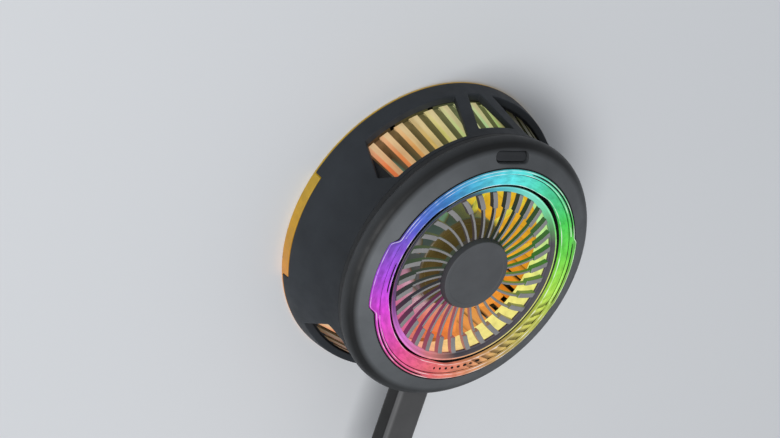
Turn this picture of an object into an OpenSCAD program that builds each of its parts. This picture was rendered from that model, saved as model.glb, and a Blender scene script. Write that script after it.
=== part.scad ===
// Round magnetic cooler for the back of a phone, standing on its cold face.
// A thermoelectric plate cools the phone, and an axial fan behind a vaned grille
// blows through a finned heatsink and out of slanted windows in the side wall.
// Z = 0 is the face that meets the phone, and the lead leaves along -Y.

/* [Housing] */
// Diameter of the housing where it meets the phone
base_d = 59; // [54:0.5:65]
// How far the waist draws in from the base
waist_in = 2.9; // [2.2:0.1:3.4]
// Height from the lower edge of the front cover up to the waist
waist_rise = 0.9; // [0.4:0.1:1.2]
// How far the front flange stands in from the base
flange_in = 2.35; // [1.9:0.05:2.6]
// Height of the front face beside the light ring
body_h = 20.5; // [18.5:0.25:23]
// Height of the front cover
cover_h = 5.5; // [5.3:0.1:6.5]
// Slope of the front face from the light ring to its rounded edge, in degrees
face_lean = 25; // [18:1:28]
// Rounding of the front edge
edge_r = 2.1; // [1.7:0.1:2.4]
// Wall of the housing at its waist
wall = 1.4; // [1:0.1:1.8]
// Wall of the housing round the base ring
skirt_wall = 1.3; // [1:0.1:1.8]
// Radius of the bosses inside the housing that take the base screws
boss_r = 1.6; // [1.4:0.1:2]
// Height of those bosses
boss_h = 6; // [4:0.5:7]

/* [Exhaust windows] */
// Height of the lower edge of the windows
window_z = 4.1; // [3.8:0.1:5]
// Rim of the housing between the windows and the front cover
rim_h = 0.9; // [0.8:0.1:2]
// Angle from the middle of a set of windows to its end, at mid height
window_half = 53.5; // [45:0.5:56]
// Lean of the ends
end_lean = 26; // [0:1:30]
// Angle from the middle of a set to the middle of a strut, at mid height
strut_a = 9.6; // [8:0.2:14]
// Width of a strut
strut_w = 2.3; // [1.6:0.1:3]
// Lean of a strut
strut_lean = 18.5; // [0:0.5:24]
// Height of the cut corner at the front of each end
corner_h = 2.2; // [1:0.1:3]
// Slope of that corner
corner_lean = 31; // [10:1:40]

/* [Light ring and intake] */
// Width of the front face, from the flange's edge to the light ring
face_w = 5; // [4.8:0.05:5.6]
// Wall of the lit collar round the intake
collar_t = 0.75; // [0.6:0.05:1]
// Dark groove between the collar and the light ring
groove_w = 0.7; // [0.5:0.05:0.9]
// Width of the light ring
ring_w = 3.1; // [2.6:0.1:3.4]
// Width of the raised lip of the light ring
lip_w = 0.9; // [0.6:0.05:1.2]
// How far the light ring stands above the front face
ring_rise = 0.3; // [0.1:0.05:0.6]
// Depth of the seat of the light ring below the front face
seat_depth = 2.1; // [1.6:0.1:2.4]
// Width of the ledge under the light ring
ledge_w = 0.95; // [0.6:0.05:1.2]
// Thickness of that ledge
ledge_t = 1; // [0.8:0.1:1.4]
// How far a tab of the light ring stands out
tab_out = 1.2; // [0.8:0.1:1.4]
// Half angle of a tab at its outer edge
tab_half = 16; // [10:0.5:20]
// Half angle of a tab at its root
tab_root = 20.5; // [18:0.5:26]

/* [Grille] */
// Number of vanes
vane_count = 32; // [24:1:36]
// Thickness of a vane
vane_t = 0.6; // [0.5:0.05:0.8]
// Depth of the grille
vane_depth = 1.8; // [1.4:0.1:2.2]
// Depth of the grille's top below the front face
grille_drop = 0.5; // [0.3:0.1:0.8]
// Width of the broad outer part of a vane
block_w = 1.25; // [0.9:0.05:1.5]
// Length of the broad outer part of a vane
block_l = 3.4; // [2:0.1:5]
// Step from the broad part down to the thin part
step_h = 0.4; // [0.2:0.05:0.6]
// Sweep of a vane from the hub to the rim, in degrees
vane_sweep = 10.5; // [4:0.5:16]
// Width of the grille's rim
rim_w = 0.45; // [0.35:0.05:0.7]
// Diameter of the hub cap's face
cap_d = 13.9; // [12:0.1:15]
// Height of the hub cap
cap_h = 1.1; // [0.8:0.1:1.4]
// Width of the hub cap's bevel
cap_bevel = 0.4; // [0.2:0.05:0.6]

/* [Mode button] */
// Length of the button
button_l = 7.5; // [6:0.1:9]
// Width of the button
button_w = 2.2; // [1.8:0.1:2.4]
// Travel of the button
button_travel = 0.4; // [0.2:0.05:0.5]
// Gap round the button
button_gap = 0.2; // [0.15:0.05:0.3]

/* [Fan] */
// Diameter of the fan hub
hub_d = 18.6; // [17.6:0.2:20]
// Wall of the fan hub
hub_wall = 0.5; // [0.4:0.05:0.7]
// Thickness of the top of the fan hub
hub_top_t = 1; // [0.8:0.1:1.4]
// Number of blades
blade_count = 9; // [5:1:9]
// Thickness of a blade
blade_t = 0.7; // [0.5:0.05:1]
// Width of a blade across the axis
blade_w = 5.6; // [4:0.2:5.8]
// Bow of a blade
blade_bow = 0.8; // [0.2:0.1:1.2]
// Gap from the blade tips to the collar
tip_gap = 0.7; // [0.5:0.1:1.2]
// Gap from the fan hub up to the grille
fan_gap = 2.5; // [1.8:0.1:3]
// Diameter of the shaft
shaft_d = 1.6; // [1.4:0.1:2]
// Running clearance of the shaft in its bush
shaft_clear = 0.03; // [0.02:0.01:0.06]
// Outer diameter of the bush
bush_d = 3.6; // [3.2:0.1:4]
// Wall of the bearing tube
tube_wall = 0.75; // [0.6:0.05:1]
// Thickness of the motor base
motor_base_t = 0.8; // [0.6:0.1:1.2]
// Thickness of the rotor magnet
rotor_magnet_t = 0.9; // [0.7:0.1:1.1]
// Air gap between the rotor magnet and the stator
air_gap = 0.4; // [0.3:0.05:0.6]
// Height of the stator core
stator_h = 3.2; // [2.4:0.1:3.6]

/* [Cooling] */
// Thickness of the cold plate
cold_t = 2; // [1.8:0.1:2.4]
// Width of the cold plate's flange
cold_flange = 1.4; // [1:0.1:1.6]
// Thickness of that flange
cold_flange_t = 0.8; // [0.5:0.1:1]
// Distance from the corners of the thermoelectric module to the cold face's edge
tec_corner = 1; // [0.8:0.1:3]
// Thickness of each ceramic
ceramic_t = 0.6; // [0.5:0.05:0.8]
// Height of the pellets
pellet_h = 1; // [0.8:0.1:1.2]
// Side of a pellet
pellet_w = 1.2; // [0.8:0.1:1.4]
// Pellets along each side of the module
pellet_count = 8; // [6:2:10]
// Thickness of the heatsink's base
sink_base_t = 1.2; // [1:0.1:1.6]
// Number of fins
fin_count = 52; // [40:4:56]
// Thickness of a fin
fin_t = 1.3; // [0.8:0.1:1.4]
// Height of the fins under the fan
fin_low_h = 3.2; // [2:0.1:3.4]
// Diameter where the fins start
fin_start_d = 30; // [28:0.5:31]

/* [Base] */
// Height of the base ring
base_h = 3.4; // [3.1:0.1:3.5]
// Thickness of the silicone pad
pad_t = 0.6; // [0.4:0.1:0.7]
// Wall of the base ring outside the magnets
magnet_edge = 1.1; // [0.8:0.1:1.6]
// Width of the ring of magnets
magnet_w = 3.6; // [3.4:0.1:4]
// Web of the base ring between the magnets and the cold plate
web_w = 3; // [2.6:0.1:3.4]
// Thickness of the magnets
magnet_t = 2; // [1.5:0.1:2.1]
// Thickness of the glow ring under the housing
sole_t = 0.4; // [0.3:0.05:0.5]
// Height of the rear notches
notch_h = 2.2; // [1.6:0.1:2.6]
// Half angle of the rear notches
notch_half = 21; // [15:1:26]

/* [Board and socket] */
// Thickness of the main board
board_t = 1; // [0.8:0.1:1.2]
// Height of the posts that carry the board
post_h = 1.4; // [1.2:0.1:1.8]
// Height of the spigot of the front cover
spigot_h = 1; // [0.8:0.1:1.4]
// Wall of that spigot
spigot_t = 0.9; // [0.7:0.1:1]
// Number of LEDs under the light ring
led_count = 16; // [8:4:20]
// Side of an LED
led_w = 1.6; // [1.2:0.1:1.8]
// Height of an LED
led_h = 0.7; // [0.5:0.1:0.9]
// Width of the USB-C socket
socket_w = 8.94; // [8.9:0.02:9.1]
// Height of the USB-C socket
socket_h = 3.16; // [3.1:0.02:3.3]
// Depth of the USB-C socket
socket_l = 6.5; // [6.3:0.1:6.6]
// Sheet of the socket and of the plug's shell
sheet_t = 0.25; // [0.2:0.01:0.28]

/* [Lead] */
// Width of the plug's metal shell
shell_w = 8.34; // [8.3:0.01:8.36]
// Height of the plug's metal shell
shell_h = 2.56; // [2.5:0.01:2.6]
// Reach of the shell into the socket
shell_reach = 5.9; // [5.5:0.1:6]
// Width of the plug's grip
grip_w = 7.2; // [6.6:0.1:8]
// Height of the plug's grip
grip_h = 4.4; // [4:0.1:4.6]
// Rounding of the grip's edges
grip_r = 0.9; // [0.5:0.1:1.2]
// Width of the plug's head in the housing
head_w = 9.6; // [9.2:0.1:10]
// Length of the plug's head
head_l = 2.4; // [2:0.1:3]
// Length of the grip behind its head
grip_l = 22; // [18:1:26]
// Length of the boot
boot_l = 10; // [8:1:14]
// Diameter of the lead
lead_d = 3.2; // [3:0.1:3.4]
// Gap between neighbouring turns of the coil
turn_gap = 0.6; // [0.5:0.05:0.8]
// Gap between the two layers of the coil
layer_gap = 0.5; // [0.45:0.05:0.8]
// Radius of the coil's outer turn
coil_r = 25.5; // [24:0.5:28]
// Width of the tie round the coil
tie_w = 6; // [4:0.5:10]
// Thickness of the tie
tie_t = 0.6; // [0.4:0.05:0.65]

/* [Screws and clearances] */
// Radius of the screws that close the housing and hold the heatsink
screw_r = 0.75; // [0.6:0.05:0.8]
// Radius of their heads
screw_head_r = 1.25; // [1.1:0.05:1.4]
// Height of their heads
screw_head_h = 1; // [0.8:0.1:1.2]
// Height of the heads of the heatsink screws
sink_head_h = 0.9; // [0.7:0.1:1.1]
// Radius of the screws of the board and the motor
fine_screw_r = 0.55; // [0.4:0.05:0.6]
// Radius of their heads
fine_head_r = 0.95; // [0.8:0.05:1.1]
// Height of their heads
fine_head_h = 0.6; // [0.4:0.1:0.7]
// Clearance of parts that drop in
loose = 0.2; // [0.15:0.01:0.25]
// Clearance of parts that locate
snug = 0.1; // [0.06:0.01:0.14]
// Clearance of parts that are pressed or glued in
close = 0.02; // [0.01:0.005:0.03]

/* [Hidden] */
$fn = 96;

// Overshoot of a cut beyond the face that it opens
cut = 1;
far = 60;

// Levels, from the phone upwards
z_tec = cold_t;
z_pellet = z_tec + ceramic_t;
z_hot = z_pellet + pellet_h;
z_sink = z_hot + ceramic_t;
z_fin = z_sink + sink_base_t;
z_fin_low = z_fin + fin_low_h;

// Levels, from the front face downwards
z_ring_top = body_h + ring_rise;
z_part = body_h - cover_h;
z_window_top = z_part - rim_h;
z_window_mid = (window_z + z_window_top) / 2;
window_h = z_window_top - window_z;
waist_h = z_part + waist_rise;
z_seat = body_h - seat_depth;
z_under = z_seat - ledge_t;
z_board_top = z_under - post_h;
z_board = z_board_top - board_t;
z_socket = z_board - socket_h / 2;
z_grille_top = body_h - grille_drop;
z_thin_top = z_grille_top - step_h;
z_grille = z_grille_top - vane_depth;
z_hub_top = z_grille - fan_gap;

// Radii of the front, from the flange inwards
base_r = base_d / 2;
waist_r = base_r - waist_in;
flange_r = base_r - flange_in;
ring_out = flange_r - face_w;
ring_in = ring_out - ring_w;
collar_r = ring_in - groove_w;
intake_r = collar_r - collar_t;
tab_r = ring_out + tab_out;
seat_r = ring_out + snug;
opening_r = ring_out - ledge_w;
throat_r = opening_r - snug;

// The front face slopes down from the light ring and runs smoothly into its rounded edge
edge_at = flange_r - edge_r;
function face_z(r) = body_h - tan(face_lean) * (r - seat_r);
z_flange = face_z(edge_at + edge_r * sin(face_lean)) - edge_r * cos(face_lean);

// Radii of the housing, from its wall inwards
inner_r = waist_r - wall;
skirt_r = base_r - skirt_wall;
spigot_r = inner_r - snug;
spigot_in = spigot_r - spigot_t;
board_r = spigot_in - loose;
board_in = collar_r + 0.5;

// Posts of the cover, midway between the light ring and the board's edge
post_at = (opening_r + board_r) / 2;
post_r = (board_r - opening_r) / 2 - loose;
post_angles = [45, 135, 225, 315];
fin_gap = 0.4;
z_fin_top = min(z_part - spigot_h, z_board - fine_head_h) - fin_gap;

// Magnets stand on a ring of equal places, four of which hold the base screws
place_count = 20;
place_a = 360 / place_count;
screw_places = [1, 8, 11, 18];
magnet_a = place_a - 2.4;
base_ring_r = skirt_r - snug;
magnet_out = base_ring_r - magnet_edge;
magnet_in = magnet_out - magnet_w;
base_screw_at = (magnet_in + magnet_out) / 2;
boss_floor = 1.5;

// Screws from the base ring into the heatsink, between the cold plate and the magnets
flange_out = magnet_in - web_w;
cold_r = flange_out - cold_flange;
sink_screw_at = (flange_out + magnet_in) / 2;
sink_screw_angles = [45, 135, 225, 315];
sink_boss_r = (magnet_in - flange_out) / 2 - 2 * snug;
sink_head_r = sink_boss_r - 0.1;
tec_w = sqrt(2) * (cold_r - tec_corner);

function radial(r, a) = [r * cos(a), r * sin(a)];
function arc(c, r, from, to, steps) = [
    for (i = [0 : steps])
    c + radial(r, from + (to - from) * i / steps)
];
// Half a cosine wave from 0 to 1
function ease(t) = (1 - cos(180 * min(1, max(0, t)))) / 2;

// Outer radius of the housing: a cosine taper to the waist, then a step out to the flange
function outer_r(z) = z < waist_h
    ? base_r + (waist_r - base_r) * ease(z / waist_h)
    : waist_r + (flange_r - waist_r) * ease((z - waist_h) / (z_flange - waist_h));
wall_steps = 14;
function wall_line(from, to, steps) = [
    for (i = [0 : steps])
    let (z = from + (to - from) * i / steps)
    [outer_r(z), z]
];

// Inner radius of the housing: a cone that widens towards the base
inner_low_r = outer_r(base_h) - wall;
function inner_at(z) = inner_r + (inner_low_r - inner_r) * (z_part - z) / (z_part - base_h);
sink_r = inner_at(z_fin) - 2 * loose;

// Keeps what lies anticlockwise (side 1) or clockwise (side -1) of a leaning radial plane
module beside(angle, lean, side, z) {
    rotate([0, 0, angle])
    translate([0, 0, z])
    rotate([-lean, 0, 0])
    translate([0, side < 0 ? -far : 0, -far])
    cube([far, far, 2 * far]);
}

module window_band() {
    rotate_extrude()
    translate([inner_r - cut, window_z])
    square([base_r - inner_r + 2 * cut, window_h]);
}

// The strut's edges stand half its width away, as an angle at the waist
strut_half = strut_w / 2 / waist_r * 180 / PI;

module end_window() {
    corner_a = 90 + window_half + (window_h / 2 - corner_h) * tan(end_lean) / waist_r * 180 / PI;
    intersection() {
        window_band();
        beside(90 + strut_a + strut_half, strut_lean, 1, z_window_mid);
        beside(90 + window_half, end_lean, -1, z_window_mid);
        beside(corner_a, -corner_lean, -1, z_window_top - corner_h);
    }
}

module middle_window() {
    intersection() {
        window_band();
        beside(90 + strut_a - strut_half, strut_lean, -1, z_window_mid);
        beside(90 - strut_a + strut_half, -strut_lean, 1, z_window_mid);
    }
}

module end_windows() {
    end_window();
    mirror([1, 0, 0])
    end_window();
}

// A flat bar with round edges along -Y, from one Y to a lower one
module bar(w, h, r, from, to) {
    translate([0, from, 0])
    rotate([90, 0, 0])
    linear_extrude(from - to)
    union() {
        square([w - 2 * r, h], center = true);
        square([w, h - 2 * r], center = true);
        for (x = [-1, 1], y = [-1, 1])
        translate([x * (w / 2 - r), y * (h / 2 - r)])
        circle(r);
    }
}

// Slot with round ends, along X
module slot(l, w, h) {
    linear_extrude(h)
    union() {
        square([l - w, w], center = true);
        for (x = [-1, 1])
        translate([x * (l - w) / 2, 0])
        circle(w / 2);
    }
}

// Opening of the housing and cover for the plug's head
socket_front = -(inner_r - loose);
module plug_opening() {
    translate([0, 0, z_socket])
    bar(head_w + 2 * loose, grip_h + 2 * loose, grip_r + loose, socket_front + 7, -base_r - cut);
}

module at_places(places) {
    for (i = places)
    rotate([0, 0, (i + 0.5) * place_a])
    children();
}

module ring_sector(r_in, r_out, z, h, middle, half) {
    rotate([0, 0, middle - half])
    rotate_extrude(angle = 2 * half)
    translate([r_in, z])
    square([r_out - r_in, h]);
}

module side_housing() {
    color("#36393c")
    difference() {
        union() {
            rotate_extrude()
            polygon(concat(
                wall_line(sole_t, z_part, wall_steps),
                [[inner_r, z_part], [inner_low_r, base_h], [skirt_r, base_h], [skirt_r, sole_t]]
            ));
            intersection() {
                at_places(screw_places)
                translate([base_screw_at, 0, base_h + snug])
                union() {
                    cylinder(r = boss_r, h = boss_h);
                    translate([0, -boss_r + loose, 0])
                    cube([base_r - base_screw_at, 2 * boss_r - 2 * loose, boss_h]);
                }
                rotate_extrude()
                polygon([
                    [0, 0], [inner_at(0) + wall / 2, 0], [inner_r + wall / 2, z_part], [0, z_part]
                ]);
            }
        }
        end_windows();
        mirror([0, 1, 0])
        end_windows();
        middle_window();
        plug_opening();
        for (a = [0, 180])
        ring_sector(skirt_r - cut, base_r + cut, -cut, notch_h + cut, a, notch_half);
        at_places(screw_places)
        translate([base_screw_at, 0, base_h - cut])
        cylinder(r = screw_r + close, h = boss_h - boss_floor + cut);
    }
}

// One tab of the light ring on +X, widened by a clearance
module tab(clear, z, h) {
    extra = clear / ring_out * 180 / PI;
    root = radial(ring_out - clear, tab_root + extra);
    corner = radial(tab_r + clear, tab_half + extra);
    reach = corner + (corner - root);
    inside = ring_in + 1;
    translate([0, 0, z])
    intersection() {
        cylinder(r = tab_r + clear, h = h);
        linear_extrude(h)
        polygon([
            [inside, root.y], root, reach, [reach.x, -reach.y],
            [root.x, -root.y], [inside, -root.y]
        ]);
    }
}

button_at = ring_out + 0.75 + button_w / 2 + button_gap;
button_flange = 0.4;
button_sink = 0.15;
z_button_pocket = z_seat - 0.3;
z_button_flange = z_button_pocket - 0.05;
button_flange_t = 0.5;

// All that lies below the sloping face, lowered by a distance
module under_face(sink) {
    rotate_extrude()
    polygon([
        [0, 0], [flange_r, 0], [flange_r, face_z(flange_r) - sink],
        [ring_in, face_z(ring_in) - sink], [0, face_z(ring_in) - sink]
    ]);
}

module front_cover() {
    color("#55585a")
    difference() {
        union() {
            rotate_extrude()
            polygon(concat(
                wall_line(z_part, z_flange, 6),
                arc([edge_at, z_flange], edge_r, 0, 90 - face_lean, 10),
                [
                    [seat_r, body_h], [seat_r, z_seat], [opening_r, z_seat], [opening_r, z_under],
                    [spigot_in, z_under], [spigot_in, z_part - spigot_h],
                    [spigot_r, z_part - spigot_h], [spigot_r, z_part]
                ]
            ));
            for (a = post_angles)
            rotate([0, 0, a])
            translate([post_at, 0, z_board_top])
            cylinder(r = post_r, h = z_under - z_board_top);
        }
        for (a = [0, 180])
        rotate([0, 0, a])
        tab(snug, z_seat, far);
        translate([0, button_at, z_button_pocket - cut])
        slot(button_l + 2 * button_gap, button_w + 2 * button_gap, far);
        translate([0, button_at, z_board_top - loose])
        slot(
            button_l + 2 * button_flange + 2 * button_gap,
            button_w + 2 * button_flange + 2 * button_gap,
            z_button_pocket - z_board_top + loose
        );
        for (a = post_angles)
        rotate([0, 0, a])
        translate([post_at, 0, z_board_top - cut])
        cylinder(r = fine_screw_r + close, h = post_h + cut + 0.6);
        plug_opening();
    }
}

// A sloping band that rises to a lip; its throat reaches down towards the LEDs
module light_ring() {
    lip_in = ring_out - lip_w;
    band_z = body_h - 0.7;
    lip_z = body_h - 0.15;
    bevel = 0.2;
    tab_rise = 0.15;
    color("#b060e0")
    union() {
        rotate_extrude()
        polygon([
            [ring_in, z_under], [throat_r, z_under], [throat_r, z_seat], [ring_out, z_seat],
            [ring_out, z_ring_top - bevel], [ring_out - bevel, z_ring_top],
            [lip_in + bevel, z_ring_top], [lip_in, lip_z], [ring_in, band_z]
        ]);
        for (a = [0, 180])
        rotate([0, 0, a])
        difference() {
            intersection() {
                tab(0, z_seat, body_h - z_seat);
                under_face(-tab_rise);
            }
            translate([0, 0, z_seat - cut])
            cylinder(r = ring_out - lip_w / 2, h = far);
        }
    }
}

grille_ledge = 0.6;
module ring_collar() {
    foot_w = 0.75;
    foot_h = 0.8;
    hang = 0.3;
    ledge_in = intake_r - grille_ledge;
    color("#e8e8b0")
    rotate_extrude()
    polygon([
        [intake_r, z_board - hang], [collar_r, z_board - hang], [collar_r, z_board_top],
        [collar_r + foot_w + 0.5, z_board_top], [collar_r + foot_w + 0.5, z_board_top + foot_h],
        [collar_r, z_board_top + foot_h], [collar_r, body_h - 0.2], [intake_r, body_h - 0.2],
        [intake_r, z_grille], [ledge_in, z_grille], [ledge_in, z_grille - 0.3],
        [intake_r, z_grille - 0.3 - grille_ledge]
    ]);
}

// A vane's centre line sweeps more and more towards the rim
boss_out = cap_d / 2 - 0.15;
rim_out = intake_r - 0.05;
rim_in = rim_out - rim_w;
step_r = rim_in - block_l;
function vane_angle(r) = vane_sweep * pow(max(0, (r - boss_out) / (rim_in - boss_out)), 1.5);
function vane_edge(from, to, steps, offset) = [
    for (i = [0 : steps])
    let (r = from + (to - from) * i / steps)
    radial(r, vane_angle(r) + offset / r * 180 / PI)
];
function backwards(points) = [for (i = [len(points) - 1 : -1 : 0]) points[i]];
function strip(from, to, steps, low, high) = concat(
    vane_edge(from, to, steps, low),
    backwards(vane_edge(from, to, steps, high))
);

module intake_grille() {
    bite = 0.2;
    color("#8c8d90")
    union() {
        translate([0, 0, z_grille])
        difference() {
            cylinder(r = rim_out, h = vane_depth);
            translate([0, 0, -cut])
            cylinder(r = rim_in, h = vane_depth + 2 * cut);
        }
        translate([0, 0, z_grille])
        cylinder(r = boss_out, h = z_thin_top - z_grille);
        for (i = [0 : vane_count - 1])
        rotate([0, 0, (i + 0.5) * 360 / vane_count])
        translate([0, 0, z_grille])
        union() {
            linear_extrude(z_thin_top - z_grille)
            polygon(strip(boss_out - bite, rim_in + bite, 8, -vane_t / 2, vane_t / 2));
            translate([0, 0, step_h])
            linear_extrude(vane_depth - step_h)
            polygon(strip(step_r, rim_in + bite, 3, -vane_t / 2, block_w - vane_t / 2));
        }
    }
}

module hub_cap() {
    edge = 0.2;
    color("#3c3e40")
    translate([0, 0, z_thin_top])
    rotate_extrude()
    polygon([
        [0, 0], [cap_d / 2 + cap_bevel, 0], [cap_d / 2, cap_h - edge],
        [cap_d / 2 - edge, cap_h], [0, cap_h]
    ]);
}

module mode_button() {
    color("#2c2e30")
    translate([0, button_at, 0])
    union() {
        translate([0, 0, z_button_flange - button_flange_t])
        slot(button_l + 2 * button_flange, button_w + 2 * button_flange, button_flange_t);
        intersection() {
            translate([0, 0, z_button_flange - button_flange_t])
            slot(button_l, button_w, body_h);
            translate([0, -button_at, 0])
            under_face(button_sink);
        }
    }
}

// The switch stands on the board under the inner side of the button
switch_w = 3;
switch_l = 2.4;
switch_at = button_at - 0.9;
plunger_r = 0.7;
plunger_clear = 0.06;
z_switch_top = z_board_top + 1;
z_plunger = z_switch_top - 0.3;

module switch_plunger() {
    color("#d8d0b0")
    translate([0, switch_at, z_plunger])
    cylinder(r = plunger_r, h = z_button_flange - button_flange_t - z_plunger);
}

module switch_body() {
    color("#b8babc")
    translate([0, switch_at, z_board_top])
    difference() {
        translate([-switch_w / 2, -switch_l / 2, 0])
        cube([switch_w, switch_l, z_switch_top - z_board_top]);
        translate([0, 0, z_plunger - z_board_top - button_travel - snug])
        cylinder(r = plunger_r + plunger_clear, h = far);
    }
}

module main_board() {
    color("#1f5a3a")
    difference() {
        translate([0, 0, z_board])
        cylinder(r = board_r, h = board_t);
        translate([0, 0, z_board - cut])
        cylinder(r = board_in, h = board_t + 2 * cut);
        for (a = post_angles)
        rotate([0, 0, a])
        translate([post_at, 0, z_board - cut])
        cylinder(r = fine_screw_r + snug, h = board_t + 2 * cut);
    }
}

led_at = (ring_in + throat_r) / 2 + 0.5;
module leds() {
    color("#f4f0d8")
    for (i = [0 : led_count - 1])
    rotate([0, 0, (i + 0.5) * 360 / led_count])
    translate([led_at - led_w / 2, -led_w / 2, z_board_top])
    cube([led_w, led_w, led_h]);
}

// A screw with its head down at Z = 0 and its shank upwards
module screw(r, l, head_r, head_h) {
    color("#8f9296")
    difference() {
        union() {
            cylinder(r = head_r, h = head_h);
            cylinder(r = r, h = l);
        }
        translate([0, 0, -cut])
        cylinder(r = head_r / 2, h = cut + head_h / 2, $fn = 6);
    }
}

module board_screws() {
    for (a = post_angles)
    rotate([0, 0, a])
    translate([post_at, 0, z_board - fine_head_h])
    screw(fine_screw_r, fine_head_h + board_t + post_h + 0.4, fine_head_r, fine_head_h);
}

// A flattened tube with round ends along -Y, from one Y to a lower one
module stadium(w, h, from, to) {
    bar(w, h, h / 2 - close, from, to);
}

module usb_socket() {
    color("#b9bcc0")
    translate([0, 0, z_socket])
    difference() {
        stadium(socket_w, socket_h, socket_front + socket_l, socket_front);
        stadium(
            socket_w - 2 * sheet_t, socket_h - 2 * sheet_t,
            socket_front + socket_l - sheet_t, socket_front - cut
        );
    }
}

// Insulator at the back of the socket, with the tongue that the plug closes over
module socket_tongue() {
    tongue_w = 6.6;
    tongue_t = 0.7;
    tongue_l = 4.4;
    back = socket_front + socket_l - sheet_t;
    plug_tip = socket_front + shell_reach + snug;
    color("#202124")
    translate([0, 0, z_socket])
    union() {
        stadium(socket_w - 2 * sheet_t - close, socket_h - 2 * sheet_t - close, back, plug_tip);
        translate([-tongue_w / 2, plug_tip - tongue_l, -tongue_t / 2])
        cube([tongue_w, tongue_l, tongue_t]);
    }
}

// Fan: the hub hangs on the shaft, with the yoke and magnet inside its skirt
hub_r = hub_d / 2;
shaft_r = shaft_d / 2;
z_motor = z_fin + motor_base_t;
z_hub = z_motor + 0.8;
z_hub_in = z_hub_top - hub_top_t;
yoke_t = 0.4;
yoke_r = hub_r - hub_wall;
magnet_r = yoke_r - yoke_t;
stator_r = magnet_r - rotor_magnet_t - air_gap;
tube_r = bush_d / 2 + tube_wall;
hub_boss_h = 1.2;
z_tube_top = z_hub_in - hub_boss_h - 0.3;
blade_r = intake_r - tip_gap;
z_blade = max(z_fin_low, z_hub) + 0.6;
z_blade_top = z_hub_top - 0.8;
blade_steps = 8;

// Bowed section of a blade: across the axis and up it
function blade_line(shift) = [
    for (i = [0 : blade_steps])
    let (s = i / blade_steps)
    let (low = z_blade + blade_t / 2)
    let (high = z_blade_top - blade_t / 2)
    [
        blade_w * (s - 0.5) + blade_bow * sin(180 * s) + shift / 2,
        low + (high - low) * s - shift / 2
    ]
];

module blade() {
    intersection() {
        rotate([90, 0, 90])
        linear_extrude(blade_r + cut)
        polygon(concat(blade_line(blade_t), backwards(blade_line(-blade_t))));
        difference() {
            cylinder(r = blade_r, h = body_h);
            translate([0, 0, -cut])
            cylinder(r = hub_r - hub_wall / 2, h = body_h + 2 * cut);
        }
    }
}

module fan_rotor() {
    bevel = 0.5;
    hub_boss_r = shaft_r + 0.8;
    shaft_hole = shaft_r + close / 2;
    color("#8a7a30")
    union() {
        rotate_extrude()
        polygon([
            [0, z_hub_top], [hub_r - bevel, z_hub_top], [hub_r, z_hub_top - bevel],
            [hub_r, z_hub], [yoke_r, z_hub], [yoke_r, z_hub_in], [hub_boss_r, z_hub_in],
            [hub_boss_r, z_hub_in - hub_boss_h], [shaft_hole, z_hub_in - hub_boss_h],
            [shaft_hole, z_hub_in + hub_top_t / 2], [0, z_hub_in + hub_top_t / 2]
        ]);
        for (i = [0 : blade_count - 1])
        rotate([0, 0, i * 360 / blade_count])
        blade();
    }
}

module tube(r_out, r_in, z, h) {
    translate([0, 0, z])
    difference() {
        cylinder(r = r_out, h = h);
        translate([0, 0, -cut])
        cylinder(r = r_in, h = h + 2 * cut);
    }
}

module rotor_yoke() {
    color("#707478")
    tube(yoke_r - close, magnet_r, z_hub + 0.2, z_hub_in - close - z_hub - 0.2);
}

module rotor_magnet() {
    color("#3a3a3e")
    tube(magnet_r - close, magnet_r - rotor_magnet_t, z_hub + 0.4, stator_h + 2);
}

module fan_shaft() {
    color("#c8cacc")
    translate([0, 0, z_motor + 0.5])
    cylinder(r = shaft_r, h = z_hub_in + hub_top_t / 2 - close - z_motor - 0.5);
}

motor_screw_angles = [30, 150, 270];
motor_base_r = stator_r + 1.4;
motor_screw_at = stator_r - fine_head_r - 0.4;
module motor_base() {
    color("#26282a")
    difference() {
        union() {
            translate([0, 0, z_fin])
            cylinder(r = motor_base_r, h = motor_base_t);
            translate([0, 0, z_fin])
            cylinder(r = tube_r, h = z_tube_top - z_fin);
        }
        translate([0, 0, z_motor + 0.4])
        cylinder(r = bush_d / 2, h = far);
        for (a = motor_screw_angles)
        rotate([0, 0, a])
        translate([motor_screw_at, 0, z_fin - cut])
        cylinder(r = fine_screw_r + close, h = motor_base_t + 2 * cut);
    }
}

module bearing_bush() {
    color("#b08d45")
    tube(
        bush_d / 2 - close, shaft_r + shaft_clear, z_motor + 0.4 + close,
        z_tube_top - z_motor - 0.6
    );
}

// Stator: six teeth with shoes, each wound
tooth_count = 6;
tooth_w = 1.5;
shoe_t = 0.8;
core_r = tube_r + 0.9;
z_stator = z_motor + fine_head_h + 1;
module stator_core() {
    shoe_half = 180 / tooth_count - 6;
    color("#6a6e72")
    difference() {
        union() {
            translate([0, 0, z_stator])
            cylinder(r = core_r, h = stator_h);
            for (i = [0 : tooth_count - 1])
            rotate([0, 0, i * 360 / tooth_count])
            union() {
                translate([core_r - 0.5, -tooth_w / 2, z_stator])
                cube([stator_r - shoe_t / 2 - core_r + 0.5, tooth_w, stator_h]);
                ring_sector(stator_r - shoe_t, stator_r, z_stator, stator_h, 0, shoe_half);
            }
        }
        translate([0, 0, z_stator - cut])
        cylinder(r = tube_r + close, h = stator_h + 2 * cut);
    }
}

module stator_windings() {
    turns_t = 0.6;
    inside = core_r + 0.25;
    length = stator_r - shoe_t - 0.15 - inside;
    color("#b8692e")
    for (i = [0 : tooth_count - 1])
    rotate([0, 0, i * 360 / tooth_count])
    difference() {
        translate([inside, -tooth_w / 2 - turns_t, z_stator - turns_t])
        cube([length, tooth_w + 2 * turns_t, stator_h + 2 * turns_t]);
        translate([inside - cut, -tooth_w / 2 - close, z_stator - close])
        cube([length + 2 * cut, tooth_w + 2 * close, stator_h + 2 * close]);
    }
}

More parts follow.
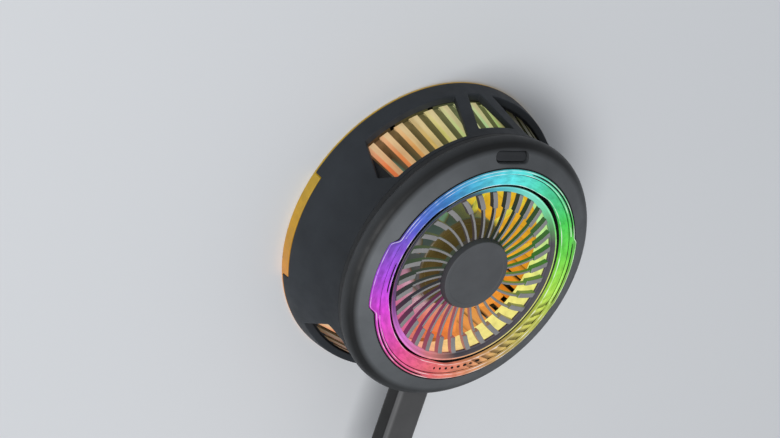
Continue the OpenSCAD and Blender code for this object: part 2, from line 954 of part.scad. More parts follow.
module motor_screws() {
    for (a = motor_screw_angles)
    rotate([0, 0, a])
    translate([motor_screw_at, 0, z_motor + fine_head_h])
    mirror([0, 0, 1])
    screw(fine_screw_r, fine_head_h + motor_base_t + sink_base_t / 2, fine_head_r, fine_head_h);
}

// Fins: low under the fan and tall round it
tall_in = intake_r + 1;
module fin() {
    edge = 2 * loose + 0.3;
    rotate([90, 0, 0])
    translate([0, 0, -fin_t / 2])
    linear_extrude(fin_t)
    polygon([
        [fin_start_d / 2, z_sink + sink_base_t / 2], [sink_r - 0.3, z_sink + sink_base_t / 2],
        [sink_r - 0.3, z_fin + 2 * loose], [inner_at(z_fin_top) - edge, z_fin_top], [tall_in, z_fin_top],
        [tall_in, z_fin_low], [fin_start_d / 2, z_fin_low]
    ]);
}

module heatsink() {
    socket_bay_w = socket_w + 4 * loose;
    head_bay_w = head_w + 4 * loose;
    color("#d09a50")
    difference() {
        union() {
            translate([0, 0, z_sink])
            cylinder(r = sink_r, h = sink_base_t);
            for (i = [0 : fin_count - 1])
            rotate([0, 0, i * 360 / fin_count])
            fin();
        }
        at_places(screw_places)
        translate([base_screw_at, 0, z_sink - cut])
        union() {
            cylinder(r = boss_r + loose, h = body_h);
            translate([0, -boss_r - loose, 0])
            cube([wall + boss_r + cut, 2 * boss_r + 2 * loose, body_h]);
        }
        translate([-socket_bay_w / 2, -sink_r - cut, z_board - socket_h - 2 * loose])
        cube([socket_bay_w, sink_r + socket_front + socket_l + 2 * cut, body_h]);
        translate([-head_bay_w / 2, -sink_r - cut, z_socket - grip_h / 2 - 2 * loose])
        cube([head_bay_w, sink_r + plug_face + cut + 2 * loose, body_h]);
        for (a = sink_screw_angles)
        rotate([0, 0, a])
        translate([sink_screw_at, 0, z_sink - cut])
        cylinder(r = screw_r + close, h = sink_base_t + cut - 0.15);
        for (a = motor_screw_angles)
        rotate([0, 0, a])
        translate([motor_screw_at, 0, z_fin - sink_base_t / 2 - close])
        cylinder(r = fine_screw_r + close, h = sink_base_t);
    }
}

z_base = pad_t;
module sink_screws() {
    for (a = sink_screw_angles)
    rotate([0, 0, a])
    translate([sink_screw_at, 0, z_base])
    screw(screw_r, z_sink - z_base + sink_base_t - 0.3, sink_head_r, sink_head_h);
}

module tec_plate(z) {
    translate([-tec_w / 2, -tec_w / 2, z])
    cube([tec_w, tec_w, ceramic_t]);
}

module tec_hot_ceramic() {
    color("#f2f2ee")
    tec_plate(z_hot);
}

module tec_cold_ceramic() {
    color("#f2f2ee")
    tec_plate(z_tec);
}

module tec_pellets() {
    pitch = (tec_w - 2) / pellet_count;
    middle = (pellet_count - 1) / 2;
    color("#5a5a60")
    for (i = [0 : pellet_count - 1], j = [0 : pellet_count - 1])
    translate([(i - middle) * pitch - pellet_w / 2, (j - middle) * pitch - pellet_w / 2, z_pellet])
    cube([pellet_w, pellet_w, pellet_h]);
}

module foam_seal() {
    hole_w = tec_w + 3 * loose;
    color("#4a4c50")
    difference() {
        translate([0, 0, z_tec])
        cylinder(r = flange_out - loose, h = z_sink - z_tec);
        translate([-hole_w / 2, -hole_w / 2, z_tec - cut])
        cube([hole_w, hole_w, z_sink - z_tec + 2 * cut]);
    }
}

z_cold_flange = cold_t - cold_flange_t;
module cold_plate() {
    bevel = 0.3;
    color("#c9ced2")
    rotate_extrude()
    polygon([
        [0, 0], [cold_r - bevel, 0], [cold_r, bevel], [cold_r, z_cold_flange],
        [flange_out, z_cold_flange], [flange_out, cold_t], [0, cold_t]
    ]);
}

z_magnet = base_h - magnet_t - 0.3;
module base_ring() {
    color("#2a2c2e")
    difference() {
        union() {
            difference() {
                rotate_extrude()
                polygon([
                    [cold_r + loose, z_base], [base_ring_r, z_base], [base_ring_r, base_h],
                    [flange_out + loose, base_h], [flange_out + loose, z_cold_flange],
                    [cold_r + loose, z_cold_flange]
                ]);
                tube(magnet_out + snug, magnet_in - snug, z_magnet, far);
            }
            at_places(screw_places)
            translate([base_screw_at, 0, z_base])
            cylinder(r = boss_r + snug, h = base_h - z_base);
            for (a = sink_screw_angles)
            rotate([0, 0, a])
            translate([sink_screw_at, 0, base_h - cut])
            cylinder(r = sink_boss_r, h = z_sink - base_h + cut);
        }
        at_places(screw_places)
        translate([base_screw_at, 0, z_base - cut])
        union() {
            cylinder(r = screw_r + close, h = far);
            cylinder(r = screw_head_r + close, h = screw_head_h + cut + close);
        }
        for (a = sink_screw_angles)
        rotate([0, 0, a])
        translate([sink_screw_at, 0, z_base - cut])
        union() {
            cylinder(r = screw_r + close, h = far);
            cylinder(r = sink_head_r + close, h = sink_head_h + cut + close);
        }
    }
}

module base_screws() {
    at_places(screw_places)
    translate([base_screw_at, 0, z_base])
    screw(screw_r, base_h - z_base + boss_h - boss_floor - cut, screw_head_r, screw_head_h);
}

module phone_magnets() {
    color("#8e9094")
    for (i = [0 : place_count - 1])
    if (len(search(i, screw_places)) == 0)
    ring_sector(magnet_in, magnet_out, z_magnet, magnet_t, (i + 0.5) * place_a, magnet_a / 2);
}

module silicone_pad() {
    color("#3a3c3e")
    tube(base_ring_r, cold_r + 2 * loose, 0, pad_t);
}

module glow_ring() {
    low_half = 90 - notch_half + 0.4;
    color("#e0b040")
    difference() {
        tube(base_r - snug, skirt_r, 0, notch_h - snug);
        for (a = [90, 270])
        ring_sector(skirt_r - cut, base_r + cut, sole_t, notch_h, a, low_half);
    }
}

// A plug along -Y from its face at Y = 0, used at both ends of the lead
module plug_metal(face) {
    color("#c4c7ca")
    difference() {
        stadium(shell_w, shell_h, shell_reach, -head_l / 2);
        stadium(shell_w - 2 * sheet_t, shell_h - 2 * sheet_t, shell_reach + cut, -head_l / 2 - cut);
    }
}

module plug_moulding() {
    color("#4c4e50")
    difference() {
        union() {
            bar(head_w, grip_h, grip_r, 0, -head_l);
            bar(grip_w, grip_h, grip_r, -head_l, -head_l - grip_l);
        }
        stadium(shell_w + close, shell_h + close, cut, -head_l / 2 - close);
    }
}

// Tapered boot with grooves, behind the grip
boot_from = head_l + grip_l;
module boot() {
    grooves = 4;
    groove_d = 0.25;
    start_r = grip_h / 2 - 0.1;
    end_r = lead_d / 2 + 0.3;
    pitch = boot_l / (grooves + 1);
    color("#4c4e50")
    translate([0, -boot_from, 0])
    rotate([90, 0, 0])
    difference() {
        cylinder(r1 = start_r, r2 = end_r, h = boot_l);
        for (i = [1 : grooves])
        translate([0, 0, i * pitch - pitch / 6])
        tube(grip_h, start_r + (end_r - start_r) * i / (grooves + 1) - groove_d, 0, pitch / 3);
    }
}

plug_face = socket_front - snug;
module near_plug() {
    translate([0, plug_face, z_socket])
    children();
}

module plug_shell() {
    near_plug()
    plug_metal();
}

module plug_grip() {
    near_plug()
    plug_moulding();
}

module plug_boot() {
    near_plug()
    boot();
}

// The free lead: out of the boot, down under its own weight, along the floor to the coil's side
boot_end = plug_face - boot_from - boot_l;
lead_r = lead_d / 2;
floor_z = tie_t + snug + lead_r;
run_drop = [
    [-64, 13.3], [-68, 12.8], [-72, 11.5], [-76, 9.6], [-80, 7.5], [-84, 5.4],
    [-88, 3.8], [-92, 2.8], [-97, 2.4], [-103, 2.3], [-108, 2.3]
];
run_l = run_drop[0][0] - run_drop[len(run_drop) - 1][0];
run_route = [for (p = run_drop) [-coil_r * ease((run_drop[0][0] - p[0]) / run_l), p[0], p[1]]];
coil_middle = [0, -115];
turns_in = 3.75;
loop_rings = 24;
turn_pitch = lead_d + turn_gap;
coil_in = coil_r - turns_in * turn_pitch;
half_rings = turns_in * loop_rings;
top_z = floor_z + lead_d + layer_gap;

// The coil spirals in on the floor, climbs in the half turn where it reverses, and spirals out
function coil_point(i) =
    let (r = coil_in + turn_pitch * abs(i - half_rings) / loop_rings)
    let (climb = ease((i - half_rings) / (loop_rings / 2) + 0.5))
    let (p = coil_middle + radial(r, 180 + 360 * i / loop_rings))
    [p.x, p.y, floor_z + (top_z - floor_z) * climb];
coil_turns = [for (i = [0 : 2 * half_rings]) coil_point(i)];
coil_start = coil_turns[0] + [0, lead_d, 0];
coil_end = coil_turns[len(coil_turns) - 1] + [0, lead_d, 0];
tail_l = 16;
coil_path = concat([coil_start], coil_turns, [coil_end]);
far_face = coil_end.y + tail_l + boot_l + boot_from;
tail_route = [
    [0, 1, 0], [0, 3.5, -0.3], [0, 6, -1.2], [0, 9, -2.5], [0, 11.5, -3.3], [0, 13.5, -3.7]
];

// A tube of flat facets along a path that is never upright
function unit(v) = v / norm(v);
function along(path, i) = unit(path[min(i + 1, len(path) - 1)] - path[max(i - 1, 0)]);
function ring(path, i, r, sides) =
    let (t = along(path, i))
    let (u = unit(cross(t, [0, 0, 1])))
    let (v = cross(u, t))
    [for (k = [0 : sides - 1]) path[i] + r * (cos(360 * k / sides) * u + sin(360 * k / sides) * v)];
module swept_tube(path, r, sides) {
    last = len(path) - 1;
    points = [for (i = [0 : last]) each ring(path, i, r, sides)];
    walls = [
        for (i = [0 : last - 1], k = [0 : sides - 1])
        let (a = i * sides + k)
        let (b = i * sides + (k + 1) % sides)
        each [[a, b + sides, b], [a, a + sides, b + sides]]
    ];
    near_cap = [for (k = [1 : sides - 2]) [0, k, k + 1]];
    far_cap = [for (k = [1 : sides - 2]) [last * sides, last * sides + k + 1, last * sides + k]];
    polyhedron(points, concat(walls, near_cap, far_cap));
}

// Least gap of the coil to itself, between points more than half a turn apart
coil_gap = min([
    for (i = [0 : len(coil_turns) - 1])
    for (j = [i + loop_rings / 2 : 1 : len(coil_turns) - 1])
    norm(coil_turns[i] - coil_turns[j])
]) - lead_d;
echo(str("least gap of the coil to itself, mm: ", coil_gap));

module lead_run() {
    color("#303234")
    swept_tube(
        concat([[0, boot_end, z_socket], [0, boot_end - 1, z_socket]], run_route, [coil_start]),
        lead_r, 8
    );
}

module lead_coil() {
    color("#303234")
    swept_tube(coil_path, lead_r, 6);
}

// The tie lies across the turns on the side away from the cooler
module coil_tie() {
    tie_in = coil_in + turn_pitch / 2 - lead_r - tie_t;
    tie_out = coil_r + lead_r + snug;
    color("#1c1d1f")
    translate([coil_middle.x - tie_w / 2, coil_middle.y, 0])
    difference() {
        translate([0, -tie_out - tie_t, 0])
        cube([tie_w, tie_out - tie_in + 2 * tie_t, top_z + lead_r + snug + tie_t]);
        translate([-cut, -tie_out, tie_t])
        cube([tie_w + 2 * cut, tie_out - tie_in, top_z + lead_r + snug - tie_t]);
    }
}

module far_plug() {
    translate([coil_end.x, far_face, grip_h / 2])
    children();
}

module lead_tail() {
    tail_end = [coil_end.x, coil_end.y + tail_l, grip_h / 2];
    color("#303234")
    swept_tube(
        concat(
            [coil_end], [for (p = tail_route) coil_end + p],
            [tail_end - [0, 1, 0], tail_end]
        ),
        lead_r, 8
    );
}

module far_boot() {
    far_plug()
    boot();
}

module far_grip() {
    far_plug()
    plug_moulding();
}

module far_shell() {
    far_plug()
    plug_metal();
}

side_housing();
front_cover();
light_ring();
ring_collar();
intake_grille();
hub_cap();
mode_button();
switch_plunger();
switch_body();
main_board();
leds();
board_screws();
usb_socket();
socket_tongue();
fan_rotor();
rotor_yoke();
rotor_magnet();
fan_shaft();
motor_base();
bearing_bush();
stator_core();
stator_windings();
motor_screws();
heatsink();
sink_screws();
tec_hot_ceramic();
tec_pellets();
tec_cold_ceramic();
foam_seal();
cold_plate();
base_ring();
base_screws();
phone_magnets();
silicone_pad();
glow_ring();
plug_shell();
plug_grip();
plug_boot();
lead_run();
lead_coil();
coil_tie();
lead_tail();
far_boot();
far_grip();
far_shell();
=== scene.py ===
"""Looks of a round phone cooler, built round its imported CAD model.

Everything is in the CAD model's frame: the cold face lies on z = 0, the fan's axis is Z,
the mode button is towards +Y and the lead leaves along -Y. Sizes are in millimetres and
angles in degrees, anticlockwise from +X as seen from the front. Points become metres
where a mesh is made.
"""

import math

import bmesh
import bpy
from mathutils import Matrix, Vector


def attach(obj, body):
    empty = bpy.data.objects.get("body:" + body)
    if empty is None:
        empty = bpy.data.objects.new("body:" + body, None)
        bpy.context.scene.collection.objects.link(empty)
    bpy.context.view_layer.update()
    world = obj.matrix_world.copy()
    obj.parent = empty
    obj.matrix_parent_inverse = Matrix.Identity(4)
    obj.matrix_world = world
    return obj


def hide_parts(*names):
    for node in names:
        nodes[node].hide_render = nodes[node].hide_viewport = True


MM = 0.001

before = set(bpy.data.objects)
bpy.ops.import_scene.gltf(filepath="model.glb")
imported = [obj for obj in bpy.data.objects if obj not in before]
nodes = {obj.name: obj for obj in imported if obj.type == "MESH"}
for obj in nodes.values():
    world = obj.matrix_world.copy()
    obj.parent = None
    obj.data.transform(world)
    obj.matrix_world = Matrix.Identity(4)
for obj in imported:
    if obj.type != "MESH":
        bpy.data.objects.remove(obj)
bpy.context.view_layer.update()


# Sizes of the CAD model, in millimetres and degrees

BASE_R = 29.49
WAIST_R = 26.6
FLANGE_R = 27.15
INNER_R = 25.2
INNER_LOW_R = 27.8
SKIRT_R = 28.2
SPIGOT_IN = 24.2
SOLE_Z = 0.4
LEDGE_Z = 3.4
WAIST_Z = 15.9
PART_Z = 15.0
FACE_Z = 20.5
FACE_LEAN = 25.0
EDGE_R = 2.1
GLOW_OUT = 29.4

WINDOW_Z = 4.1
WINDOW_TOP = 14.1
WINDOW_MID = (WINDOW_Z + WINDOW_TOP) / 2
WINDOW_HALF = 53.5
END_LEAN = 26.0
STRUT_LEAN = 18.5
NOTCH_HALF = 21.0
NOTCH_Z = 2.2
FIN_COUNT = 52

RING_OUT = 22.15
RING_TOP = 20.8
SEAT_R = 22.25
SEAT_Z = 18.4
TAB_HALF = 16.0
TAB_ROOT = 20.5
COVER_BORE = 21.2
COLLAR_R = 18.35
INTAKE_R = 17.6
UNDER_Z = 17.4

VANES = 32
VANE_SWEEP = 10.5
GRILLE_Z = 18.2
GRILLE_TOP = 20.0
THIN_TOP = 19.6
BOSS_R = 6.8
RIM_IN = 17.1
STEP_R = 13.7
CAP_R = 6.95
CAP_TOP = 20.7

BUTTON_L = 7.5
BUTTON_GAP = 0.2

HUB_R = 9.3
HUB_Z = 7.0
HUB_TOP = 15.7
BLADES = 9
BLADE_R = 16.9

SOCKET_Z = 13.42
PLUG_FACE = -25.1
HEAD_W = 9.6
HEAD_L = 2.4
GRIP_W = 7.2
GRIP_H = 4.4
GRIP_L = 22.0
BOOT_L = 10.0
PLUG_GAP = 0.2

LEAD_D = 3.2
TIE_T = 0.6
TIE_W = 6.0

# Sizes of this scene's own: finer than the CAD model, or off it to follow the photograph

STRUT_AT = 9.17
STRUT_W = 2.7
MIDDLE_TOP = 12.9
CORNER_Z = 11.3
CORNER_LEAN = 44.0
FIN_PHASE = 0.5
TAB_OUT = 1.0
TAB_DROP = 0.65
LIP_R = 21.15
BAND_IN = 19.3
BAND_TOP = 20.44
BAND_EDGE = 20.2
BAND_REACH = 0.42
RIBS = 60
RIB_SKEW = 0.5
RIB_H = 0.14
VANE_T = 0.48
VANE_LOW = 18.85
BLOCK_W = 1.05
BUTTON_AT = 24.05
BUTTON_W = 1.8
HUB_IN = 8.4
BLADE_Z = 11.9
GRIP_R = 1.2


# Small tools


def polar(r, angle, z):
    a = math.radians(angle)
    return (r * math.cos(a), r * math.sin(a), z)


def clamp(t):
    return min(1.0, max(0.0, t))


def ease(t):
    """Half a cosine wave from 0 to 1."""
    return (1 - math.cos(math.pi * clamp(t))) / 2


def apart(angle, middle):
    """Angle between two directions, from 0 to 180."""
    return abs((angle - middle + 180) % 360 - 180)


def arc_angle(length, r):
    return math.degrees(length / r)


def spread(start, end, count):
    return [start + (end - start) * i / count for i in range(count + 1)]


def rounded(corners, steps=4):
    """A closed outline of (x, y) from corners of (x, y, radius)."""
    outline = []
    for i, (x, y, radius) in enumerate(corners):
        here = Vector((x, y))
        back = (Vector(corners[i - 1][:2]) - here).normalized()
        ahead = (Vector(corners[(i + 1) % len(corners)][:2]) - here).normalized()
        turn = back.angle(ahead)
        if radius == 0 or math.pi - turn < 0.01:
            outline.append((x, y))
            continue
        centre = here + (back + ahead).normalized() * (radius / math.sin(turn / 2))
        start = here + back * (radius / math.tan(turn / 2)) - centre
        end = here + ahead * (radius / math.tan(turn / 2)) - centre
        first = math.atan2(start.y, start.x)
        sweep = (math.atan2(end.y, end.x) - first + math.pi) % math.tau - math.pi
        for k in range(steps + 1):
            a = first + sweep * k / steps
            outline.append((centre.x + radius * math.cos(a), centre.y + radius * math.sin(a)))
    return outline


def rounded_box(left, right, low, high, radius):
    corners = ((left, low), (right, low), (right, high), (left, high))
    return rounded([(x, y, radius) for x, y in corners], 5)


def full_turn(count, extra=()):
    """Evenly spread angles, with a few more where a shape needs an edge."""
    even = [360 * i / count for i in range(count)]
    added = [a % 360 for a in extra]
    kept = [a for a in even if all(apart(a, b) > 90 / count for b in added)]
    return sorted(kept + added)


def edges_at(*angles, width=0.06):
    """Pairs of angles close on both sides of each edge."""
    return [a + side * width for a in angles for side in (-1, 1)]


def loop_faces(n, m):
    """Faces between n closed loops of m points, the last joined to the first."""
    faces = []
    for i in range(n):
        for j in range(m):
            k, l = (i + 1) % n, (j + 1) % m
            faces.append((i * m + j, k * m + j, k * m + l, i * m + l))
    return faces


def lathe(profile, angles, shape=None):
    """Points and faces of a closed (r, z) profile turned all the way round.

    shape(r, z, angle) may move a point within its half plane.
    """
    points = []
    for a in angles:
        for r, z in profile:
            if shape:
                r, z = shape(r, z, a)
            points.append(polar(r, a, z))
    return points, loop_faces(len(angles), len(profile))


def sweep(sections):
    """Points and faces of closed sections joined in a row, with both ends capped."""
    m = len(sections[0])
    points = [p for section in sections for p in section]
    faces = [tuple(reversed(range(m)))]
    for i in range(len(sections) - 1):
        for j in range(m):
            k = (j + 1) % m
            faces.append((i * m + j, i * m + k, (i + 1) * m + k, (i + 1) * m + j))
    last = (len(sections) - 1) * m
    faces.append(tuple(range(last, last + m)))
    return points, faces


def joined(*solids):
    """Several (points, faces) as one."""
    points, faces = [], []
    for more_points, more_faces in solids:
        start = len(points)
        points += more_points
        faces += [tuple(start + k for k in face) for face in more_faces]
    return points, faces


def turned(solid, angle):
    points, faces = solid
    spin = Matrix.Rotation(math.radians(angle), 3, "Z")
    return [tuple(spin @ Vector(p)) for p in points], faces


def add_object(name, data):
    made = bpy.data.objects.new(name, data)
    bpy.context.scene.collection.objects.link(made)
    return made


def piece(name, solid, body, finish, stands_for=(), crease=35, even=False):
    """A smooth-shaded mesh on a CAD body, in place of CAD nodes.

    With even, large faces keep their own normals beside small roundings.
    """
    mesh = bpy.data.meshes.new(name)
    points, faces = solid
    mesh.from_pydata([[c * MM for c in p] for p in points], [], faces)
    work = bmesh.new()
    work.from_mesh(mesh)
    bmesh.ops.remove_doubles(work, verts=work.verts, dist=0.002 * MM)
    bmesh.ops.dissolve_degenerate(work, edges=work.edges, dist=0.001 * MM)
    bmesh.ops.recalc_face_normals(work, faces=work.faces)
    work.to_mesh(mesh)
    work.free()
    mesh.shade_smooth()
    mesh.set_sharp_from_angle(angle=math.radians(crease))
    mesh.materials.append(finish)
    made = add_object(name, mesh)
    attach(made, body)
    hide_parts(*stands_for)
    if even:
        made.modifiers.new("even normals", "WEIGHTED_NORMAL").keep_sharp = True
    return made


# Camera and light

CAMERA_AT = Vector((-463.8, 282.8, 506.1))
LOOKS_AT = Vector((-24.22, 11.67, 20.0))
CAMERA_ROLL = 131.55
LENS = 182.5
SENSOR = 36.0


def make_camera():
    data = bpy.data.cameras.new("camera")
    data.sensor_width = SENSOR
    data.lens = LENS
    data.clip_start = 0.01
    data.clip_end = 20
    back = (CAMERA_AT - LOOKS_AT).normalized()
    level = Vector((0, 0, 1)).cross(back).normalized()
    roll = math.radians(CAMERA_ROLL)
    right = level * math.cos(roll) + back.cross(level) * math.sin(roll)
    camera = add_object("camera", data)
    turn = Matrix((right, back.cross(right), back)).transposed().to_4x4()
    camera.matrix_world = Matrix.Translation(CAMERA_AT * MM) @ turn
    bpy.context.scene.camera = camera


KEY_AT = Vector((-0.5, -0.1, 0.84))
KEY_SIZE = 0.5
KEY_POWER = 5.4


def make_light():
    """One soft lamp, placed in metres."""
    data = bpy.data.lights.new("key", "AREA")
    data.size = KEY_SIZE
    data.energy = KEY_POWER
    lamp = add_object("key", data)
    lamp.location = KEY_AT
    lamp.rotation_euler = (-KEY_AT).to_track_quat("-Z", "Y").to_euler()


# Node materials


def srgb(red, green, blue):
    """A colour as it is seen, from 0 to 255, as linear values."""
    def linear(c):
        c /= 255
        return c / 12.92 if c <= 0.04045 else ((c + 0.055) / 1.055) ** 2.4
    return (linear(red), linear(green), linear(blue), 1)


def grey(tone):
    return (tone, tone, tone, 1)


def greys(*tones):
    """Stops of a ramp from (place, tone) pairs."""
    return [(place, grey(tone)) for place, tone in tones]


def shade(colour, factor):
    return tuple(c * factor for c in colour[:3]) + (1,)


def at_clock(angle):
    """The clock's value at an angle."""
    return (angle - 180) % 360 / 360


class Finish:
    """A node material, with short calls for the nodes that it is made of."""

    def __init__(self, name):
        self.material = bpy.data.materials.new(name)
        self.material.use_nodes = True
        self.tree = self.material.node_tree
        self.shader = self.tree.nodes["Principled BSDF"]
        self.place = self.node("TexCoord", out="Object")

    def feed(self, made, inputs):
        """Sets a node's inputs by (name or index, value or socket) pairs."""
        for key, value in inputs:
            if isinstance(value, bpy.types.NodeSocket):
                self.tree.links.new(value, made.inputs[key])
            else:
                made.inputs[key].default_value = value

    def node(self, kind, inputs=(), out=0, **settings):
        """Adds a node and gives one of its outputs."""
        made = self.tree.nodes.new("ShaderNode" + kind)
        for key, value in settings.items():
            setattr(made, key, value)
        self.feed(made, inputs)
        return made.outputs[out]

    def surface(self, *inputs):
        self.feed(self.shader, inputs)

    def lit(self, colour, own, glow):
        """Shows a colour partly by its own light."""
        self.surface(
            ("Base Color", self.scaled(colour, own)),
            ("Emission Color", self.scaled(colour, glow)),
            ("Emission Strength", 1),
        )

    def bump(self, height, depth):
        """Relief of a depth in millimetres."""
        inputs = [("Strength", 1), ("Distance", depth * MM), ("Height", height)]
        self.surface(("Normal", self.node("Bump", inputs)))

    def noise(self, scale, detail=2, stretch=None, place=None):
        place = place if place is not None else self.place
        if stretch:
            place = self.node("Mapping", [("Vector", place), ("Scale", stretch)])
        return self.node(
            "TexNoise", [("Vector", place), ("Scale", scale), ("Detail", detail)], "Fac"
        )

    def ramp(self, factor, stops):
        """Colours along a factor, as (place, colour) stops."""
        made = self.tree.nodes.new("ShaderNodeValToRGB")
        self.feed(made, [("Fac", factor)])
        elements = made.color_ramp.elements
        while len(elements) < len(stops):
            elements.new(0.5)
        for element, (place, colour) in zip(elements, stops):
            element.position = place
            element.color = colour
        return made.outputs["Color"]

    def remap(self, *values):
        """A value's range, from low and high, to another low and high."""
        return self.node("MapRange", enumerate(values))

    def maths(self, operation, *values):
        return self.node("Math", enumerate(values), operation=operation)

    def times(self, first, second):
        return self.maths("MULTIPLY", first, second)

    def phase(self, value, repeats, *shifts):
        """A saw from 0 to 1 that repeats along a value."""
        turns = self.times(value, repeats)
        for shift in shifts:
            turns = self.maths("ADD", turns, shift)
        return self.maths("FRACT", turns)

    def scaled(self, colour, factor):
        return self.node("VectorMath", [(0, colour), ("Scale", factor)], operation="SCALE")

    def mixed(self, factor, first, second):
        """A colour between two, by a factor from 0 to 1."""
        return self.node("Mix", [(0, factor), (6, first), (7, second)], 2, data_type="RGBA")

    def clock(self):
        """Direction about the fan's axis: 0 and 1 at -X, 0.25 at -Y, 0.5 at +X, 0.75 at +Y."""
        return self.node("TexGradient", [("Vector", self.place)], "Fac", gradient_type="RADIAL")

    def round_clock(self, values):
        """A hue or a tone by direction, from (angle, colour or tone) pairs, closed at -X."""
        stops = sorted(
            (at_clock(angle), srgb(*value) if isinstance(value, tuple) else grey(value))
            for angle, value in values
        )
        return self.ramp(self.clock(), stops + [(1, stops[0][1])])

    def level(self):
        """Height above the phone, in metres."""
        return self.node("SeparateXYZ", [(0, self.place)], "Z")

    def outwards(self):
        """Place without its height."""
        return self.node("VectorMath", [(0, self.place), (1, (1, 1, 0))], operation="MULTIPLY")

    def radius(self):
        return self.node("VectorMath", [(0, self.outwards())], "Value", operation="LENGTH")

    def by_height(self, low, high, to_low, to_high):
        return self.remap(self.level(), low * MM, high * MM, to_low, to_high)

    def by_radius(self, low, high, to_low, to_high):
        return self.remap(self.radius(), low * MM, high * MM, to_low, to_high)

    def unrolled(self):
        """Place along a ring, out from the axis and up, in metres."""
        around = self.times(self.clock(), math.tau * RING_OUT * MM)
        return self.node("CombineXYZ", enumerate((around, self.radius(), self.level())))

    def normal(self):
        return self.node("NewGeometry", out="Normal")

    def upwards(self):
        """1 on a face that looks out of the front, 0 on an upright one."""
        return self.node("SeparateXYZ", [(0, self.normal())], "Z")

    def faces_up(self):
        """The same, with a sharper change."""
        return self.remap(self.upwards(), 0.35, 0.75, 0, 1)

    def faces_out(self):
        """1 on a face that looks away from the axis, 0 on one that looks along the ring."""
        away = self.node("VectorMath", [(0, self.outwards())], operation="NORMALIZE")
        facing = self.node(
            "VectorMath", [(0, self.normal()), (1, away)], "Value", operation="DOT_PRODUCT"
        )
        return self.remap(facing, 0.3, 0.8, 0, 1)


def plastic(name, colour, roughness, grain=0.012, specular=0.3, vary=0.12, painted_light=None):
    """Moulded plastic: a faintly uneven tone and a fine spark-eroded grain.

    painted_light(finish) may give a factor of painted light and shade on the tone.
    """
    f = Finish(name)
    mottle = [(0.3, shade(colour, 1 - vary)), (0.7, shade(colour, 1 + vary))]
    tone = f.ramp(f.noise(160, 3), mottle)
    if painted_light:
        tone = f.scaled(tone, painted_light(f))
    uneven = f.remap(f.noise(420), 0.3, 0.7, roughness - 0.06, roughness + 0.06)
    f.surface(("Base Color", tone), ("Roughness", uneven), ("Specular IOR Level", specular))
    f.bump(f.noise(5200), grain)
    return f.material


def metal(name, colour, roughness, stretch, depth=0.004):
    """Metal with fine lines along one direction."""
    f = Finish(name)
    lines = f.noise(2200, 3, stretch)
    tone = f.ramp(lines, [(0.25, shade(colour, 0.82)), (0.75, shade(colour, 1.1))])
    uneven = f.remap(lines, 0.2, 0.8, roughness - 0.07, roughness + 0.07)
    f.surface(("Base Color", tone), ("Roughness", uneven), ("Metallic", 1))
    f.bump(lines, depth)
    return f.material


def turned_metal(name, colour, roughness, pitch):
    """Metal faced on a lathe: fine rings about the fan's axis."""
    f = Finish(name)
    scale = 1 / (pitch * MM) / 20
    inputs = [("Vector", f.place), ("Scale", scale), ("Distortion", 0.6), ("Detail", 1.5)]
    rings = f.node("TexWave", inputs, "Fac", wave_type="RINGS", rings_direction="Z")
    tone = f.ramp(rings, [(0, shade(colour, 0.86)), (1, shade(colour, 1.06))])
    uneven = f.remap(rings, 0, 1, roughness, roughness + 0.1)
    f.surface(("Base Color", tone), ("Roughness", uneven), ("Metallic", 1))
    f.bump(rings, 0.006)
    return f.material


# Painted light and shade round the clock, as (angle, factor)
COVER_PAINTED_LIGHT = [
    (180, 1.46), (225, 1.16), (270, 0.86), (320, 0.98), (0, 1.14), (45, 1.04), (90, 0.94), (135, 1.3),
]
EDGE_PAINTED_SHADE = [
    (180, 1), (230, 1), (256, 0.7), (276, 0.5), (300, 0.15), (20, 0.1), (55, 0.8), (90, 1),
]
FIN_PAINTED_LIGHT = [
    (180, 0.2), (216, 0.3), (218, 1.0), (223, 1.0), (225, 0.25), (300, 0.25), (70, 0.05), (80, 0.15),
    (84, 0.9), (100, 1.0), (142, 1.0), (144, 0.2),
]

# Painted light: the slope inside the collar is lit on the upper right and the lower left
RIM_PAINTED_LIGHT = [(180, 0.1), (204, 0.9), (258, 0.9), (278, 0), (20, 0), (48, 0.9), (98, 0.9), (118, 0)]
# Painted light: the light under the grille is paler near the hub on the lower left
PALE_PAINTED_LIGHT = [(190, 0.1), (208, 0.5), (262, 0.6), (284, 0.4), (296, 0)]

# Hues of the lit parts, as (angle, colour): the light ring and the rear glow ring glow themselves; on
# the ring's bright edges and all other parts these hues are painted light
RING_HUES = [
    (180, (186, 80, 240)), (200, (230, 70, 225)), (235, (236, 82, 154)), (264, (236, 112, 112)),
    (288, (222, 150, 106)), (312, (190, 168, 92)), (335, (192, 202, 84)), (351, (170, 232, 76)),
    (12, (110, 226, 76)), (32, (72, 208, 84)), (60, (76, 214, 164)), (87, (94, 234, 236)),
    (128, (58, 136, 208)), (152, (84, 92, 208)),
]
RIM_HUES = [
    (180, (60, 40, 86)), (205, (150, 84, 160)), (228, (233, 133, 228)), (255, (236, 140, 150)),
    (285, (232, 170, 124)), (318, (226, 224, 136)), (350, (224, 226, 120)), (30, (120, 226, 120)),
    (66, (140, 240, 220)), (95, (84, 190, 206)), (115, (44, 74, 104)), (160, (30, 32, 58)),
]
WALL_HUES = [
    (180, (220, 120, 130)), (222, (248, 100, 186)), (255, (252, 172, 154)), (275, (255, 216, 150)),
    (300, (255, 250, 156)), (345, (250, 252, 140)), (40, (160, 250, 170)), (62, (150, 160, 80)),
    (85, (150, 130, 20)), (100, (240, 240, 70)), (118, (190, 176, 40)), (140, (110, 155, 110)),
]
SIDE_HUES = [
    (180, (64, 74, 66)), (202, (62, 60, 70)), (230, (130, 58, 100)), (275, (180, 108, 106)),
    (318, (152, 138, 98)), (346, (108, 144, 64)), (10, (54, 124, 50)), (35, (62, 110, 64)),
    (60, (40, 62, 50)), (90, (52, 50, 48)), (115, (78, 68, 70)), (165, (76, 94, 72)),
]
